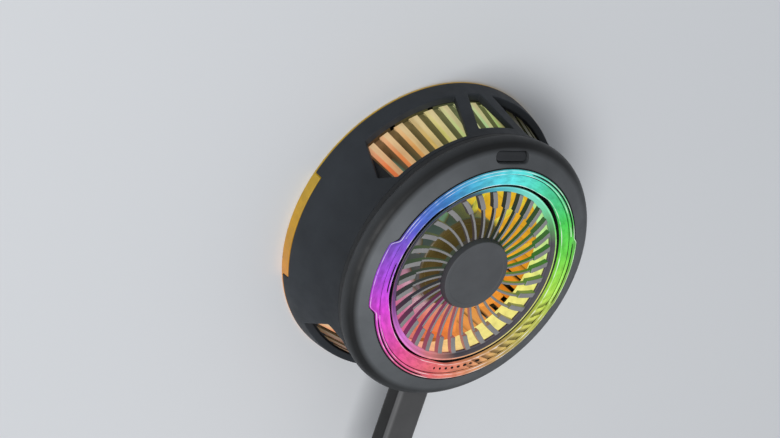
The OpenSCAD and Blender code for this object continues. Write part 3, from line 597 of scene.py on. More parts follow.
UNDER_HUES = [
    (180, (150, 120, 140)), (208, (226, 118, 172)), (256, (240, 122, 168)), (270, (250, 150, 130)),
    (281, (254, 136, 68)), (310, (255, 186, 100)), (328, (255, 152, 42)), (5, (250, 188, 50)),
    (35, (250, 204, 54)), (62, (250, 250, 90)), (87, (232, 214, 48)), (108, (110, 172, 104)),
    (142, (98, 132, 126)),
]
FIN_HUES = [
    (180, (200, 100, 60)), (217, (250, 160, 100)), (250, (226, 120, 70)), (300, (220, 140, 60)),
    (80, (192, 218, 114)), (96, (184, 225, 160)), (112, (200, 192, 104)), (136, (230, 120, 62)),
]
GLOW_HUES = [
    (180, (206, 156, 36)), (200, (222, 150, 60)), (0, (206, 156, 36)), (160, (198, 162, 44)),
]


def painted_cover_light(f):
    """Painted light and shade: lighter to the left, and darker towards the rounded edge on the upper
    left.
    """
    across = f.by_radius(24, 28, 0, 1)
    edge = f.ramp(across, greys((0.2, 0), (0.46, 0.9), (0.62, 0.9), (0.78, 0.68)))
    edge_shade = f.times(f.round_clock(EDGE_PAINTED_SHADE), edge)
    return f.times(f.round_clock(COVER_PAINTED_LIGHT), f.remap(edge_shade, 0, 1, 1, 0))


def painted_side_shade(f):
    """Painted shade: darker on upright faces."""
    return f.remap(f.upwards(), 0.1, 0.8, 0.35, 1)


def painted_corner_highlight(f):
    """Painted shade and highlight: dark on upright faces and lightest on the rounded corners."""
    return f.ramp(
        f.upwards(), greys((0, 0.2), (0.26, 0.16), (0.42, 1.7), (0.8, 1.6), (0.97, 1))
    )


def painted_shade_under_lip(f):
    """Painted shade: darker where the wall runs in under the cover's edge."""
    return f.by_height(7, 14.5, 1, 0.68)


def painted_rib_shade(f):
    """Painted light and shade of the slanting ribs on the ring's lower right, as a factor."""
    turn = f.clock()
    skew = f.by_radius(BAND_IN, LIP_R, 0, RIB_SKEW * (BAND_IN - LIP_R))
    phase = f.phase(turn, RIBS, skew, RIBS / 2)
    tone = f.ramp(phase, greys((0, 0.3), (0.4, 0.6), (0.6, 1.2), (1, 1.3)))
    on_band = f.times(
        f.by_radius(BAND_IN + 0.1, BAND_IN + 0.3, 0, 1),
        f.by_radius(LIP_R - 0.2, LIP_R - 0.1, 1, 0),
    )
    on_arc = f.times(
        f.remap(turn, at_clock(280), at_clock(290), 0, 1),
        f.remap(turn, at_clock(338), at_clock(348), 1, 0),
    )
    return f.mixed(f.times(on_band, on_arc), grey(1), tone)


def ring_guide():
    """Clear plastic with a rippled back, lit in hues that run round the clock."""
    f = Finish("ring guide")
    ripple = f.noise(900, 3, (0.6, 1.6, 0.3), f.unrolled())
    on_lip = f.by_radius(RING_OUT - 0.5, RING_OUT - 0.1, 1, 0.72)
    streak = f.times(f.remap(ripple, 0.32, 0.66, 0.72, 1.1), on_lip)
    # The ring glows itself; the ribs' light and dark on it is painted shade
    f.lit(f.scaled(f.round_clock(RING_HUES), f.times(streak, painted_rib_shade(f))), 0.3, 0.72)
    f.surface(("Roughness", f.remap(ripple, 0.3, 0.7, 0.2, 0.34)))
    f.surface(("Coat Weight", 0.15), ("Coat Roughness", 0.06))
    f.bump(ripple, 0.04)
    return f.material


def painted_ring_highlight():
    """Painted highlights on the ring's edges: in its hues, whiter in places."""
    f = Finish("ring painted highlight")
    uneven = f.noise(420, 2, (1, 0.2, 0.2), f.unrolled())
    painted_glint = f.remap(uneven, 0.4, 0.62, 0.1, 0.65)
    f.lit(f.mixed(painted_glint, f.round_clock(RING_HUES), grey(1)), 0.2, 0.85)
    f.surface(("Roughness", f.remap(uneven, 0.3, 0.7, 0.15, 0.3)))
    f.bump(uneven, 0.01)
    return f.material


def collar_painted_glow():
    """Frosted plastic with painted light: its upper edge and its inner wall glow in painted hues of
    their own.
    """
    f = Finish("collar painted glow")
    hue = f.mixed(f.faces_up(), f.round_clock(WALL_HUES), f.round_clock(RIM_HUES))
    frost = f.remap(f.noise(900, 3), 0.3, 0.7, 0.85, 1.1)
    f.lit(f.scaled(hue, frost), 0.4, 0.7)
    f.surface(("Roughness", f.remap(frost, 0.85, 1.1, 0.28, 0.42)))
    f.bump(f.noise(2600), 0.006)
    return f.material


def fan_plastic():
    """Smoked plastic that glows with painted light: the hues of the light under the grille on the
    blades, and the hub in painted tones.
    """
    f = Finish("fan plastic")
    pale = f.times(f.by_radius(11, 14.5, 1, 0), f.round_clock(PALE_PAINTED_LIGHT))
    blade = f.mixed(pale, f.round_clock(UNDER_HUES), srgb(202, 200, 190))
    # Painted light: the hub's top and its sides in different tones
    hub = f.mixed(f.faces_up(), srgb(74, 88, 82), srgb(92, 78, 40))
    cloud = f.remap(f.noise(300, 3), 0.3, 0.7, 0.75, 1.15)
    shown = f.mixed(f.by_radius(HUB_R, HUB_R + 1.2, 0, 1), hub, blade)
    f.lit(f.scaled(shown, cloud), 0.5, 0.5)
    f.surface(("Roughness", f.remap(cloud, 0.75, 1.15, 0.25, 0.4)))
    f.bump(f.noise(3000), 0.004)
    return f.material


def fin_metal():
    """Extruded fins that glow with painted light: warm light on their outer edges and painted shade
    in the gaps.
    """
    f = Finish("fin metal")
    hue = f.round_clock(FIN_HUES)
    across = f.phase(f.clock(), FIN_COUNT, FIN_PHASE)
    # Painted light: each fin's lit face in tan and its shaded face in the hue, paler towards the base
    tan = f.mixed(0.6, hue, srgb(214, 192, 142))
    bar = f.mixed(f.remap(across, 0.52, 0.57, 0, 1), tan, hue)
    bar = f.mixed(f.by_height(4.5, 10, 0.5, 0), bar, srgb(236, 214, 170))
    # Painted shade in the gaps between fins, darker deeper in
    gap = f.mixed(0.7, hue, srgb(140, 134, 96))
    on_bar = f.ramp(across, greys((0.18, 0), (0.21, 1), (0.79, 1), (0.82, 0)))
    outer = f.times(f.faces_out(), on_bar)
    deep = f.by_radius(22, 26, 0.14, 0.42)
    edge = f.mixed(outer, f.scaled(gap, deep), f.scaled(bar, 0.92))
    # Painted light, brightest where the windows show the fins
    edge = f.scaled(edge, f.round_clock(FIN_PAINTED_LIGHT))
    # Painted light: the hues under the grille on the fins' inner parts
    shown = f.mixed(f.by_radius(20, 22.5, 0.75, 0), edge, f.round_clock(UNDER_HUES))
    lines = f.noise(700, 3, (1, 1, 0.04))
    f.lit(f.scaled(shown, f.remap(lines, 0.3, 0.7, 0.8, 1.1)), 0.4, 0.75)
    f.surface(("Roughness", f.remap(lines, 0.3, 0.7, 0.3, 0.45)), ("Metallic", 0.3))
    f.bump(lines, 0.01)
    return f.material


def part_lit(name, colour, hues, glows):
    """Satin plastic with painted light: hues of the light, painted where glows(finish) is 1."""
    f = Finish(name)
    hue = f.round_clock(hues)
    mottle = f.remap(f.noise(300, 3), 0.3, 0.7, 0.9, 1.1)
    glow = glows(f)
    f.surface(
        ("Base Color", f.scaled(f.mixed(glow, colour, f.scaled(hue, 0.4)), mottle)),
        ("Emission Color", f.mixed(glow, grey(0), f.scaled(hue, 0.55))),
        ("Emission Strength", 1),
        ("Roughness", f.remap(mottle, 0.9, 1.1, 0.36, 0.46)),
        ("Specular IOR Level", 0.35),
    )
    f.bump(f.noise(5200), 0.005)
    return f.material


def sides(f):
    """1 on an upright face, 0 on one that looks out of the front."""
    return f.remap(f.upwards(), 0.35, 0.75, 1, 0)


def inner_sides(f):
    """0 on a face that looks away from the axis, 1 on others."""
    return f.remap(f.faces_out(), 0, 1, 1, 0)


def lit_slope(f):
    """By direction alone: the arcs where painted light falls on the slope inside the collar."""
    return f.round_clock(RIM_PAINTED_LIGHT)


def glow_plastic():
    """Frosted amber, lit from inside, greener towards the mode button."""
    f = Finish("glow guide")
    frost = f.remap(f.noise(500, 3), 0.3, 0.7, 0.85, 1.1)
    f.lit(f.scaled(f.round_clock(GLOW_HUES), frost), 0.5, 0.4)
    f.surface(("Roughness", f.remap(frost, 0.85, 1.1, 0.32, 0.44)))
    f.bump(f.noise(2600), 0.006)
    return f.material


# Painted shade on the housing wall, darker towards the cover's edge
HOUSING = plastic("housing plastic", srgb(51, 55, 60), 0.55, specular=0.25, painted_light=painted_shade_under_lip)
# The cover's tone carries painted light to the left and painted shade towards its edge on the upper
# left
COVER = plastic("cover plastic", srgb(88, 91, 94), 0.5, specular=0.3, painted_light=painted_cover_light)
# Painted shade on the cap's upright faces
CAP = plastic("cap plastic", srgb(86, 88, 91), 0.48, grain=0.008, painted_light=painted_side_shade)
BUTTON = plastic("button plastic", srgb(52, 54, 57), 0.42, grain=0.006)
BASE = plastic("base plastic", srgb(42, 44, 47), 0.6)
# Painted shade on the plug's upright faces and painted highlights on its rounded corners
PLUG = plastic("plug plastic", srgb(82, 82, 83), 0.42, grain=0.008, painted_light=painted_corner_highlight)
BLACK = plastic("black plastic", srgb(14, 14, 16), 0.45, grain=0.006)
JACKET = plastic("lead jacket", srgb(46, 48, 51), 0.55, grain=0.02)
STRAP = plastic("tie strap", srgb(28, 29, 31), 0.7, grain=0.03)
SILICONE = plastic("silicone", srgb(68, 70, 72), 0.7, grain=0.02)
FOAM = plastic("foam", srgb(82, 82, 86), 0.85, grain=0.08)
CERAMIC = plastic("ceramic", srgb(236, 236, 230), 0.35, grain=0.004, vary=0.04)
PELLET = plastic("pellet", srgb(110, 110, 116), 0.5)
BOARD = plastic("board mask", srgb(30, 92, 62), 0.3, grain=0.004)
LED = plastic("led resin", srgb(236, 232, 206), 0.25, grain=0.003)
STEEL = metal("bright steel", srgb(190, 192, 196), 0.3, (1, 1, 0.1))
CORE = metal("core steel", srgb(140, 142, 148), 0.42, (0.1, 0.1, 1))
NICKEL = metal("nickel plate", srgb(204, 204, 206), 0.2, (1, 1, 1), depth=0.002)
FERRITE = plastic("ferrite", srgb(58, 58, 62), 0.6)
COPPER = metal("enamelled copper", srgb(190, 112, 66), 0.35, (1, 1, 0.05))
BRONZE = metal("sintered bronze", srgb(190, 150, 96), 0.5, (1, 1, 1))
COLD = turned_metal("cold face", srgb(210, 212, 215), 0.3, 0.25)
RING = ring_guide()
# Painted highlights on the ring's edges
RING_HIGHLIGHT = painted_ring_highlight()
# Painted light on the collar's upper edge and inner wall
COLLAR = collar_painted_glow()
FAN = fan_plastic()
FINS = fin_metal()
# Painted shade: black on the outside, with painted light in the hues under the grille on its inner
# faces
PAINTED_SHADE = part_lit("painted shade plastic", srgb(14, 14, 16), UNDER_HUES, inner_sides)
# Painted reflection: the vanes' upright sides glow in the hues of the coloured light inside
GRILLE = part_lit("grille plastic", srgb(148, 147, 147), SIDE_HUES, sides)
# Painted light on the grille rim's slope up to the collar
RIM = part_lit("grille rim plastic", srgb(98, 94, 102), RIM_HUES, lit_slope)
GLOW_RING = glow_plastic()

# Finishes of the CAD nodes that are shown as they are
KEPT = [
    (FINS, ["heatsink"]),
    (COLD, ["cold_plate"]),
    (SILICONE, ["silicone_pad"]),
    (BASE, ["base_ring", "socket_tongue"]),
    (FAN, ["motor_base"]),
    (FOAM, ["foam_seal"]),
    (CERAMIC, ["tec_hot_ceramic", "tec_cold_ceramic"]),
    (PELLET, ["tec_pellets"]),
    (BOARD, ["main_board"]),
    (LED, ["leds"]),
    (NICKEL, ["phone_magnets"]),
    (FERRITE, ["rotor_magnet"]),
    (COPPER, ["stator_windings"]),
    (BRONZE, ["bearing_bush"]),
    (CORE, ["rotor_yoke", "stator_core"]),
    (STEEL, ["switch_body", "usb_socket", "fan_shaft", "plug_shell", "far_shell"]),
    (STEEL, ["board_screws", "motor_screws", "sink_screws", "base_screws"]),
]


def dress_kept():
    for finish, names in KEPT:
        for name in names:
            for slot in nodes[name].material_slots:
                slot.material = finish


# Lead: the free run, the coil and the tail as one cord

RUN = [
    (-64, 13.3), (-68, 12.8), (-72, 11.5), (-76, 9.6), (-80, 7.5), (-84, 5.4),
    (-88, 3.8), (-92, 2.8), (-97, 2.4), (-103, 2.3), (-108, 2.3),
]
TAIL = [(0, 1, 0), (0, 3.5, -0.3), (0, 6, -1.2), (0, 9, -2.5), (0, 11.5, -3.3), (0, 13.5, -3.7)]
TAIL_L = 16.0
BOOT_END = PLUG_FACE - HEAD_L - GRIP_L - BOOT_L
COIL_AT = Vector((0, -115))
COIL_R = 25.5
TURNS_IN = 3.75
TURN_PITCH = 3.8
COIL_LOW = TIE_T + 0.1 + LEAD_D / 2
COIL_HIGH = COIL_LOW + LEAD_D + 0.5
COIL_IN = COIL_R - TURNS_IN * TURN_PITCH
TURN_POINTS = 48


def coil_point(turn):
    """A point of the coil, which winds in on the floor and out again on top."""
    past = turn - TURNS_IN
    r = COIL_IN + TURN_PITCH * abs(past)
    a = math.radians(180 + 360 * turn)
    z = COIL_LOW + (COIL_HIGH - COIL_LOW) * ease(2 * past + 0.5)
    return Vector((COIL_AT.x + r * math.cos(a), COIL_AT.y + r * math.sin(a), z))


def smooth_route(points, steps=4):
    """A curve through given points."""
    points = [Vector(p) for p in points]
    route = []
    for i in range(len(points) - 1):
        before, start, end = points[max(0, i - 1)], points[i], points[i + 1]
        after = points[min(len(points) - 1, i + 2)]
        for k in range(steps):
            t = k / steps
            route.append(
                start
                + (end - before) * (t / 2)
                + (before * 2 - start * 5 + end * 4 - after) * (t * t / 2)
                + (start * 3 - before - end * 3 + after) * (t * t * t / 2)
            )
    return route + [points[-1]]


def lead_route():
    turns = int(2 * TURNS_IN * TURN_POINTS)
    coil = [coil_point(i / TURN_POINTS) for i in range(turns + 1)]
    straight = Vector((0, LEAD_D, 0))
    into_coil = coil[0] + straight
    out_of_coil = coil[-1] + straight
    plug_end = Vector((out_of_coil.x, out_of_coil.y + TAIL_L, GRIP_H / 2))
    run_start, run_end = RUN[0][0], RUN[-1][0]
    swayed = [(-COIL_R * ease((run_start - y) / (run_start - run_end)), y, z) for y, z in RUN]
    run = [(0, BOOT_END, SOCKET_Z), (0, BOOT_END - 1, SOCKET_Z), *swayed, into_coil]
    tail = [out_of_coil, *(out_of_coil + Vector(p) for p in TAIL)]
    tail += [plug_end - Vector((0, 1, 0)), plug_end]
    return smooth_route(run) + coil + smooth_route(tail)


def make_lead():
    route = lead_route()
    data = bpy.data.curves.new("lead", "CURVE")
    data.dimensions = "3D"
    data.bevel_depth = LEAD_D / 2 * MM
    data.bevel_resolution = 3
    data.use_fill_caps = True
    line = data.splines.new("POLY")
    line.points.add(len(route) - 1)
    for point, place in zip(line.points, route):
        point.co = (*(place * MM), 1)
    line.use_smooth = True
    data.materials.append(JACKET)
    lead = add_object("lead", data)
    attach(lead, "lead")
    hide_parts("lead_run", "lead_coil", "lead_tail")
    length = sum((b - a).length for a, b in zip(route, route[1:]))
    return lead, route[0] * MM, length * MM


# Side housing: a wall of leaning columns with its openings left out

SLOPE = math.tan(math.radians(FACE_LEAN))
EDGE_AT = FLANGE_R - EDGE_R
EDGE_TOP_R = EDGE_AT + EDGE_R * math.sin(math.radians(FACE_LEAN))
FLANGE_Z = FACE_Z - SLOPE * (EDGE_TOP_R - SEAT_R) - EDGE_R * math.cos(math.radians(FACE_LEAN))


def outer_r(z):
    """Radius of the outside: base, waist, flange, then the rounded front edge."""
    if z < WAIST_Z:
        return BASE_R + (WAIST_R - BASE_R) * ease(z / WAIST_Z)
    if z < FLANGE_Z:
        return WAIST_R + (FLANGE_R - WAIST_R) * ease((z - WAIST_Z) / (FLANGE_Z - WAIST_Z))
    return EDGE_AT + math.sqrt(max(0, EDGE_R**2 - (z - FLANGE_Z) ** 2))


def inner_r(z):
    if z < LEDGE_Z - 0.2:
        return SKIRT_R
    return INNER_R + (INNER_LOW_R - INNER_R) * (PART_Z - z) / (PART_Z - LEDGE_Z)


def lean_angle(lean, rise, z):
    """Turn about the axis of an edge that leans, over a rise, at a height on the outside."""
    return arc_angle(math.tan(math.radians(lean)) * rise, outer_r(z))


def window_end(z):
    leaning = lean_angle(END_LEAN, min(z, CORNER_Z) - WINDOW_MID, z)
    return WINDOW_HALF + leaning - lean_angle(CORNER_LEAN, max(0, z - CORNER_Z), z)


def strut_side(z, side):
    half = arc_angle(STRUT_W / 2, WAIST_R)
    return STRUT_AT + lean_angle(STRUT_LEAN, z - WINDOW_MID, z) + side * half


def strut_inside(z):
    return strut_side(z, -1)


def strut_outside(z):
    return strut_side(z, 1)


PLUG_HALF = math.degrees(math.asin((HEAD_W / 2 + PLUG_GAP) / WAIST_R))
PLUG_LOW = SOCKET_Z - GRIP_H / 2 - PLUG_GAP
PLUG_HIGH = SOCKET_Z + GRIP_H / 2 + PLUG_GAP


def plug_side(z):
    return min(PLUG_HALF, strut_outside(z) - 1.5)


def notch_side(z):
    return NOTCH_HALF


def wall_edge(middle, side, reach):
    return lambda z: middle + side * reach(z)


def wall_edges():
    """Edges that the wall's columns follow, anticlockwise, each with what comes after it."""
    edges = []
    for middle, inside, kind in ((90, strut_inside, "middle"), (270, plug_side, "plug")):
        for at, side, reach, after in (
            (middle, -1, window_end, "window"),
            (middle, -1, strut_outside, "wall"),
            (middle, -1, inside, kind),
            (middle, 1, inside, "wall"),
            (middle, 1, strut_outside, "window"),
            (middle, 1, window_end, "wall"),
            (middle + 90, -1, notch_side, "notch"),
            (middle + 90, 1, notch_side, "wall"),
        ):
            edges.append((wall_edge(at, side, reach), after))
    return edges


WALL_ROWS = [
    SOLE_Z, 0.6, 1.2, 1.9, NOTCH_Z, 2.5, 3.1, 3.8, WINDOW_Z, 4.4, 5.2, 6.4, 7.6, 9.1, 10.2, 10.7,
    PLUG_LOW, CORNER_Z, 11.8, 12.3, MIDDLE_TOP, 13.5, 13.8, WINDOW_TOP, 14.4, 14.7, 14.9, PART_Z,
]
OPEN_ROWS = {
    "wall": (0, 0),
    "window": (WINDOW_Z, WINDOW_TOP),
    "middle": (WINDOW_Z, MIDDLE_TOP),
    "notch": (SOLE_Z, NOTCH_Z),
    "plug": (PLUG_LOW, PART_Z),
}
COLUMN_STEP = 2.6
SUPPORT = 0.6


def wall_columns():
    """Each column as (edge before, edge after, share between them, kind of opening)."""
    columns = []
    edges = wall_edges()
    for k, (edge, kind) in enumerate(edges):
        after = edges[(k + 1) % len(edges)][0]
        gap = (after(WINDOW_MID) - edge(WINDOW_MID)) % 360
        count = max(1, round((gap - 2 * SUPPORT) / COLUMN_STEP))
        shares = [0] + spread(SUPPORT / gap, 1 - SUPPORT / gap, count)
        columns += [(edge, after, share, kind) for share in shares]
    return columns


def column_angle(column, z):
    edge, after, share, _ = column
    return edge(z) + share * ((after(z) - edge(z)) % 360)


def wall_solid():
    """The wall's outside, inside and the rims of its openings."""
    columns = wall_columns()
    n, m = len(columns), len(WALL_ROWS)
    depths = (0, 0.15, 0.85, 1)
    last = len(depths) - 1
    points, number = [], {}

    def point(i, j, layer):
        key = (i % n, j, layer)
        if key not in number:
            z = WALL_ROWS[j]
            r = outer_r(z) + (inner_r(z) - outer_r(z)) * depths[layer]
            number[key] = len(points)
            points.append(polar(r, column_angle(columns[i % n], z), z))
        return number[key]

    def is_wall(i, j):
        if not 0 <= j < m - 1:
            return False
        low, high = OPEN_ROWS[columns[i % n][3]]
        return not low <= WALL_ROWS[j] < high

    faces = []

    def rim(a, b):
        for k in range(last):
            faces.append((point(*a, k), point(*b, k), point(*b, k + 1), point(*a, k + 1)))

    for i in range(n):
        for j in range(m):
            here = is_wall(i, j)
            if here:
                corners = ((i, j), (i + 1, j), (i + 1, j + 1), (i, j + 1))
                faces.append(tuple(point(*c, 0) for c in corners))
                faces.append(tuple(point(*c, last) for c in reversed(corners)))
            if here != is_wall(i - 1, j):
                rim((i, j), (i, j + 1))
            if here != is_wall(i, j - 1):
                rim((i, j), (i + 1, j))
    return points, faces


# Behind the windows: the angle where a strip of painted shade starts, a fin's share of its pitch, and
# arcs

SHADE_FROM = 51.3
FIN_FACE = 0.58
FIN_SPANS = ((36, 144), (216, 260), (280, 324))


def fin_face(angle):
    """The broad outer face of a fin, from the sink's base to its top."""
    half = FIN_FACE * 180 / FIN_COUNT
    sections = []
    for z in spread(WINDOW_Z + 0.15, WINDOW_TOP - 0.3, 8):
        corners = [(0.3, -half), (0.3, half), (0.5, half), (0.5, -half)]
        sections.append([polar(inner_r(z) - inset, angle + a, z) for inset, a in corners])
    return sweep(sections)


def make_fin_faces():
    angles = [360 * i / FIN_COUNT for i in range(FIN_COUNT)]
    shown = [a for a in angles if any(low < a < high for low, high in FIN_SPANS)]
    piece("fin_faces", joined(*(fin_face(a) for a in shown)), "body", FINS)


def painted_shade_strip(middle, side):
    """A strip of painted shade just inside the wall, dark at the end of a window behind its edge."""
    sections = []
    for z in spread(WINDOW_Z + 0.1, WINDOW_TOP - 0.1, 20):
        end = window_end(z) + 1.5
        outer, inner = inner_r(z) - 0.05, inner_r(z) - 0.25
        corners = [(outer, SHADE_FROM), (outer, end), (inner, end), (inner, SHADE_FROM)]
        sections.append([polar(r, middle + side * a, z) for r, a in corners])
    return sweep(sections)


def make_housing():
    shades = joined(*(painted_shade_strip(middle, side) for middle in (90, 270) for side in (-1, 1)))
    piece("window_painted_shades", shades, "body", PAINTED_SHADE)
    wall = piece(
        "housing_wall", wall_solid(), "body", HOUSING, ["side_housing"], crease=180
    )
    smooth = wall.modifiers.new("smooth", "SUBSURF")
    smooth.levels = smooth.render_levels = 1


# Front cover: the flange, the rounded edge and the face round the ring


def face_height(r):
    """Height of the cover's front at a radius."""
    if r > EDGE_TOP_R:
        return FLANGE_Z + math.sqrt(max(0, EDGE_R**2 - (r - EDGE_AT) ** 2))
    return FACE_Z - SLOPE * (r - SEAT_R)


def tab_share(angle):
    """How far the ring reaches into a tab at an angle: 0 on the round part, 1 on the tab."""
    off = min(apart(angle, 0), apart(angle, 180))
    return ease((TAB_ROOT - off) / (TAB_ROOT - TAB_HALF))


COVER_COLUMNS = 192
SLOT_HALF_A = 11.25
SLOT_ROWS_R = (22.6, 26.0)
SLOT_FLOOR = 17.5


def cover_profile():
    side = [(outer_r(z), z) for z in (PART_Z + 0.08, 15.4, 15.7, 15.9, 16.1, 16.3, 16.5, 16.7)]
    front = [
        (EDGE_AT + EDGE_R * math.cos(a), FLANGE_Z + EDGE_R * math.sin(a))
        for a in spread(0, math.radians(90 - FACE_LEAN), 12)
    ]
    face = [(r, face_height(r)) for r in (25.4, 24.8, 24.2, 23.8, 23.4, 23.0, SLOT_ROWS_R[0])]
    lip = SEAT_R + 0.18
    inside = [
        (lip, face_height(lip)), (SEAT_R + 0.05, face_height(SEAT_R) - 0.06), (SEAT_R, FACE_Z - 0.2),
        (SEAT_R, SEAT_Z), (COVER_BORE, SEAT_Z), (COVER_BORE, UNDER_Z), (SPIGOT_IN, UNDER_Z),
        (SPIGOT_IN, PART_Z), (outer_r(PART_Z) - 0.08, PART_Z),
    ]
    return side + front + face + inside


def cover_shape(r, z, angle):
    """Opens the seat for the tabs and the lower edge for the plug."""
    if z > SEAT_Z - 0.01 and SEAT_R - 0.01 < r < EDGE_AT:
        moved = r + TAB_OUT * tab_share(angle) * (EDGE_AT - r) / (EDGE_AT - SEAT_R)
        if z > SEAT_Z + 0.7:
            z += face_height(moved) - face_height(r)
        r = moved
    if apart(angle, 270) < PLUG_HALF:
        z = max(z, PLUG_HIGH)
    return r, z


def pill_point(x, y, radius):
    """The nearest point to (x, y) on the outline of the button's slot, grown to a radius."""
    half = (BUTTON_L - BUTTON_W) / 2
    core = Vector((min(half, max(-half, x)), BUTTON_AT))
    return core + (Vector((x, y)) - core).normalized() * radius


def cut_slot(points, faces, angles, profile):
    """Takes a block of faces out of the cover and sinks the button's slot there."""
    m = len(profile)
    first, last = [
        min(range(len(angles)), key=lambda i: apart(angles[i], 90 + side * SLOT_HALF_A))
        for side in (-1, 1)
    ]
    on_front = [j for j, (r, z) in enumerate(profile) if z > SEAT_Z and r > SLOT_ROWS_R[0] - 0.01]
    low = min(on_front, key=lambda j: abs(profile[j][0] - SLOT_ROWS_R[1]))
    high = max(on_front)
    taken = {i * m + j for i in range(first, last) for j in range(low, high)}
    faces[:] = [face for k, face in enumerate(faces) if k not in taken]
    loop = [i * m + low for i in range(first, last)]
    loop += [last * m + j for j in range(low, high)]
    loop += [i * m + high for i in range(last, first, -1)]
    loop += [first * m + j for j in range(high, low, -1)]
    radius = BUTTON_W / 2 + BUTTON_GAP
    steps = ((0.26, 0), (0.08, 0), (0.02, 0.06), (0, 0.2), (0, None))
    for grow, sink in steps:
        ring = []
        for k in loop:
            x, y, _ = points[k]
            p = pill_point(x, y, radius + grow)
            z = SLOT_FLOOR if sink is None else face_height(p.length) - sink
            ring.append(len(points))
            points.append((p.x, p.y, z))
        for k in range(len(loop)):
            l = (k + 1) % len(loop)
            faces.append((loop[k], loop[l], ring[l], ring[k]))
        loop = ring
    faces.append(tuple(loop))


def make_cover():
    angles = full_turn(COVER_COLUMNS, edges_at(270 - PLUG_HALF, 270 + PLUG_HALF))
    profile = cover_profile()
    points, faces = lathe(profile, angles, cover_shape)
    cut_slot(points, faces, angles, profile)
    piece("cover", (points, faces), "body", COVER, ["front_cover"], even=True)


def button_ring(radius, sink, z=None):
    ring = []
    for a in spread(0, 360, 48)[:-1]:
        far = polar(20, a, 0)
        p = pill_point(far[0], BUTTON_AT + far[1], radius)
        height = face_height(p.length) - sink if z is None else z
        ring.append((p.x, p.y, height))
    return ring


def make_button():
    """A pill with a rounded edge; each ring is (inset from its side, depth below the face)."""
    r = BUTTON_W / 2
    rings = [button_ring(r, 0, SLOT_FLOOR + 0.45)]
    for inset, sink in (
        (0, 0.75), (0.05, 0.63), (0.16, 0.55), (0.34, 0.53), (0.55, 0.56), (0.75, 0.58)
    ):
        rings.append(button_ring(r - inset, sink))
    replaced = ["mode_button", "switch_plunger"]
    piece("button", sweep(rings), "button", BUTTON, replaced, even=True)


# Light ring, the dark groove inside it and the lit collar

RING_COLUMNS = 384
COLLAR_Z = 14.7
# Arcs as (middle, half): where the band reaches further in, and where it has ribs
REACH_ARCS = ((95, 45), (232, 42))
RIB_ARC = (314, 32)


def arc_share(angle, arc, soft):
    """1 inside an arc, falling to 0 at its ends."""
    middle, half = arc
    return ease((half - apart(angle, middle)) / soft)


def ring_shape(r, z, angle):
    """Reaches in beside the collar, pulls the lip out to the tabs and raises slanting ribs."""
    reach = max(arc_share(angle, arc, 15) for arc in REACH_ARCS)
    inner = BAND_REACH * reach if r < BAND_IN + 0.15 else 0
    out = ease((r - LIP_R) / (RING_OUT - 0.5 - LIP_R))
    lower = TAB_DROP * out * tab_share(angle) if z > FACE_Z - 0.2 else 0
    if BAND_IN + 0.05 < r < LIP_R - 0.15 and z > 20.3:
        saw = 2 * ((angle * RIBS / 360 - RIB_SKEW * (r - BAND_IN)) % 1) - 1
        z += arc_share(angle, RIB_ARC, 6) * RIB_H * saw
    return r - inner + TAB_OUT * out * tab_share(angle), z - lower


def arc_inlay(r, width, start, end, low, high):
    """A narrow dark slot along a ring, with round ends."""
    count = max(4, round(apart(start, end) / 1.5))
    sections = []
    for t in spread(0, 1, count):
        half = width / 2 * math.sqrt(max(0.04, 1 - (2 * t - 1) ** 8))
        corners = [(-half, low), (half, low), (half, high), (-half, high)]
        sections.append([polar(r + x, start + (end - start) * t, z) for x, z in corners])
    return sweep(sections)


def strip(r, z, width, height):
    """A narrow profile for a line along the ring."""
    return [(r, z), (r + width, z), (r + width, z + height), (r, z + height)]


def ring_lathe(profile):
    return lathe(profile, full_turn(RING_COLUMNS), ring_shape)


def ring_part(profile, start, end):
    """A line along a part of the ring, in steps of a degree."""
    sections = []
    for a in spread(start, end, end - start):
        moved = [ring_shape(r, z, a) for r, z in profile]
        sections.append([polar(r, a, z) for r, z in moved])
    return sweep(sections)


def make_ring():
    top = RING_TOP - 0.04
    profile = rounded(
        [
            (RING_OUT, SEAT_Z, 0.05), (RING_OUT, 20.48, 0.1), (RING_OUT - 0.2, top, 0.1),
            (LIP_R + 0.12, top, 0.1), (LIP_R, 20.5, 0.04), (LIP_R - 0.14, BAND_EDGE, 0.03),
            *((r, BAND_TOP, 0) for r in spread(LIP_R - 0.22, BAND_IN + 0.14, 6)),
            (BAND_IN, BAND_EDGE, 0.06), (BAND_IN, SEAT_Z, 0.05),
        ]
    )
    piece("ring", ring_lathe(profile), "body", RING, ["light_ring"], even=True)


def make_ring_highlights():
    """Strips of painted highlight along the lip's outer edge, the band's inner edge and part of the
    lip.
    """
    outer = strip(RING_OUT - 0.26, RING_TOP - 0.1, 0.11, 0.08)
    inner = strip(BAND_IN + 0.02, 20.3, 0.1, 0.14)
    lip = strip(LIP_R + 0.06, RING_TOP - 0.12, 0.1, 0.1)
    arcs = [ring_part(lip, start, start + 136) for start in (22, 202)]
    edges = joined(ring_lathe(outer), ring_lathe(inner), *arcs)
    piece("ring_highlights", edges, "body", RING_HIGHLIGHT)


